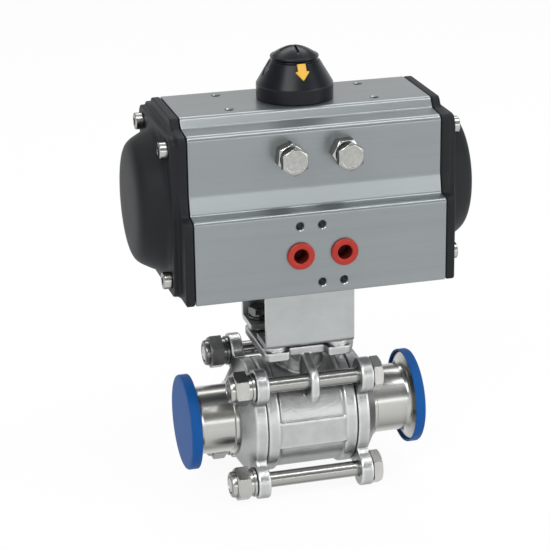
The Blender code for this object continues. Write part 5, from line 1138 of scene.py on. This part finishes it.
# %% Tube and ferrule
def make_tube(name, turn):
    return lathe(name + "_ferrule", [
        (17.8, 38), (20.4, 38), (20.6, 38.4), (20.6, 40.9), (20.4, 41.2), (19.3, 41.35), (19.05, 41.6),
        (19.05, 58.5), (19.2, 59.6), (19.65, 60.5), (20.4, 61.3), (21.3, 61.75), (24.9, 62.95),
        (25.25, 63.3), (25.25, 65.7), (25.0, 66), (23.3, 66), (22.9, 65.6), (22.3, 64.9), (21.2, 64.9),
        (20.6, 65.6), (20.2, 66), (18.1, 66), (17.8, 65.7), (17.8, 38)], 160, spot(0, 0, FLOW), turn)


for side_name, side_sign, side_turn in SIDES:
    flange_piece = make_flange(side_name, side_sign, side_turn)
    hand_over(flange_piece, cast_metal, "cast_steel", "housing", side_name + "_end_piece", angle=80)
    tube_piece = make_tube(side_name, side_turn)
    hand_over(tube_piece, tube_metal, "cast_steel", "housing", side_name + "_end_piece")
    print(side_name, "end piece", len(flange_piece.data.polygons) + len(tube_piece.data.polygons), "faces")

# %% [markdown]
# ## Body bolts and lock nuts
#
# Four long bolts clamp the three pieces together. Each has a hexagon head, a smooth rod that shows
# between the flanges, and a lock nut whose rounded collar holds a ring, over a split spring washer
# and a flat washer.

# %% Bolts and nuts
NUT_TURNS = (24, 20, 30, 18)
# The rear upper nut gets the darker steel: painted shade.
SHADED_NUT = 3
EAR_FACE = 33.4


def make_nut(seat):
    """A lock nut with its washers, which start at a distance from the valve's middle."""
    flats_part = hexagon("nut_hexagon", 17, seat + 3.7, seat + 11.2, None, ALONG_MINUS_X)
    carve(flats_part, bar("nut_bore", 4.65, 30, 50, 48, None, ALONG_MINUS_X))
    collar = [(4.65, 0), (8.1, 0), (8.3, 0.2), (8.3, 1.4), (8.1, 1.6), (7.5, 1.65), (7.6, 1.8), (7.6, 3.6),
              (7.5, 3.8), (7.0, 3.9), (7.0, 11.0), (7.3, 11.3), (7.3, 12.6), (6.9, 13.5), (6.2, 13.9),
              (4.9, 13.9), (4.65, 13.5), (4.65, 0)]
    collar_part = lathe("nut_collar", [(radius, seat + height) for radius, height in collar], 72, None,
                        ALONG_MINUS_X)
    return join([flats_part, collar_part], "body_nut")


def make_body_bolts():
    seat = EAR_FACE + GAP
    rod = lathe("rod", [(0, seat + 0.5), (4.35, seat + 0.5), (4.35, -47.2), (3.8, -47.6), (0, -47.6)], 48,
                None, ALONG_X)
    head = hexagon("rod_head", 17, seat, seat + 5.4, None, ALONG_X)
    nut = make_nut(seat)
    for number, (y, z) in enumerate(ROD_CORNERS, 1):
        twist = math.radians(NUT_TURNS[number - 1])
        # The shaded nut takes the darker steel, which is painted shade.
        nut_metal = painted_shade_bolt_metal if number == SHADED_NUT else bolt_metal
        for pattern, label, node, metal in (
                (rod, "rod", "body_bolt", rod_metal), (head, "head", "body_bolt", head_metal),
                (nut, "nut", "body_nut", nut_metal)):
            twin = copy_of(pattern, f"fitted_{label}_{number}")
            lay(twin, spot(0, y, FLOW + z), (twist, 0, 0))
            hand_over(twin, metal, "polished_steel", "housing", f"{node}_{number}")
    for pattern in (rod, head, nut):
        bpy.data.objects.remove(pattern, do_unlink=True)
    print("body bolts", len(ROD_CORNERS), "each with a nut")


make_body_bolts()

# %% [markdown]
# ## Dust caps
#
# The ends are closed by thin moulded plastic caps that push over the ferrules. Their flat faces
# scatter light, and the skirt is slightly flared by its mould.

# %% Caps over the ferrules
def make_dust_caps():
    for name, _, turn in SIDES:
        cap = lathe(f"{name}_push_cap", [
            (0, 67.7), (24.0, 67.7), (25.6, 67.6), (26.4, 67.2), (26.75, 66.5), (26.75, 62.1),
            (26.6, 61.8), (25.8, 61.8), (25.55, 62.1), (25.55, 66.0), (25.3, 66.3), (0, 66.3)],
            160, spot(0, 0, FLOW), turn)
        hand_over(cap, blue_plastic, "blue_plastic", f"{name}_dust_cap_body", f"{name}_dust_cap")


make_dust_caps()
print("dust caps at z", round(FLOW, 2))

# %% [markdown]
# ## Pieces that keep their CAD shape
#
# The pieces inside, such as the pinion, the pistons, the ball and the seals, are hidden while the
# valve is whole. They keep their CAD mesh, and the end of each name tells its finish.

# %% Finishes for the CAD solids
FINISH_OF_ENDING = {
    "actuator_body": anodised, "piston": anodised, "end_cap": black_coat, "seal": rubber,
    "bush": bush_plastic, "seat": seat_plastic, "packing": seat_plastic, "pinion": bolt_metal,
    "stop_cam": bolt_metal}


def finish_for(node):
    for ending, finish in FINISH_OF_ENDING.items():
        if node.endswith(ending):
            return finish
    return rod_metal


for node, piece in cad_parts.items():
    for material_slot in piece.material_slots:
        material_slot.material = finish_for(node)
print("CAD solids shown", sum(not piece.hide_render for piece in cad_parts.values()))
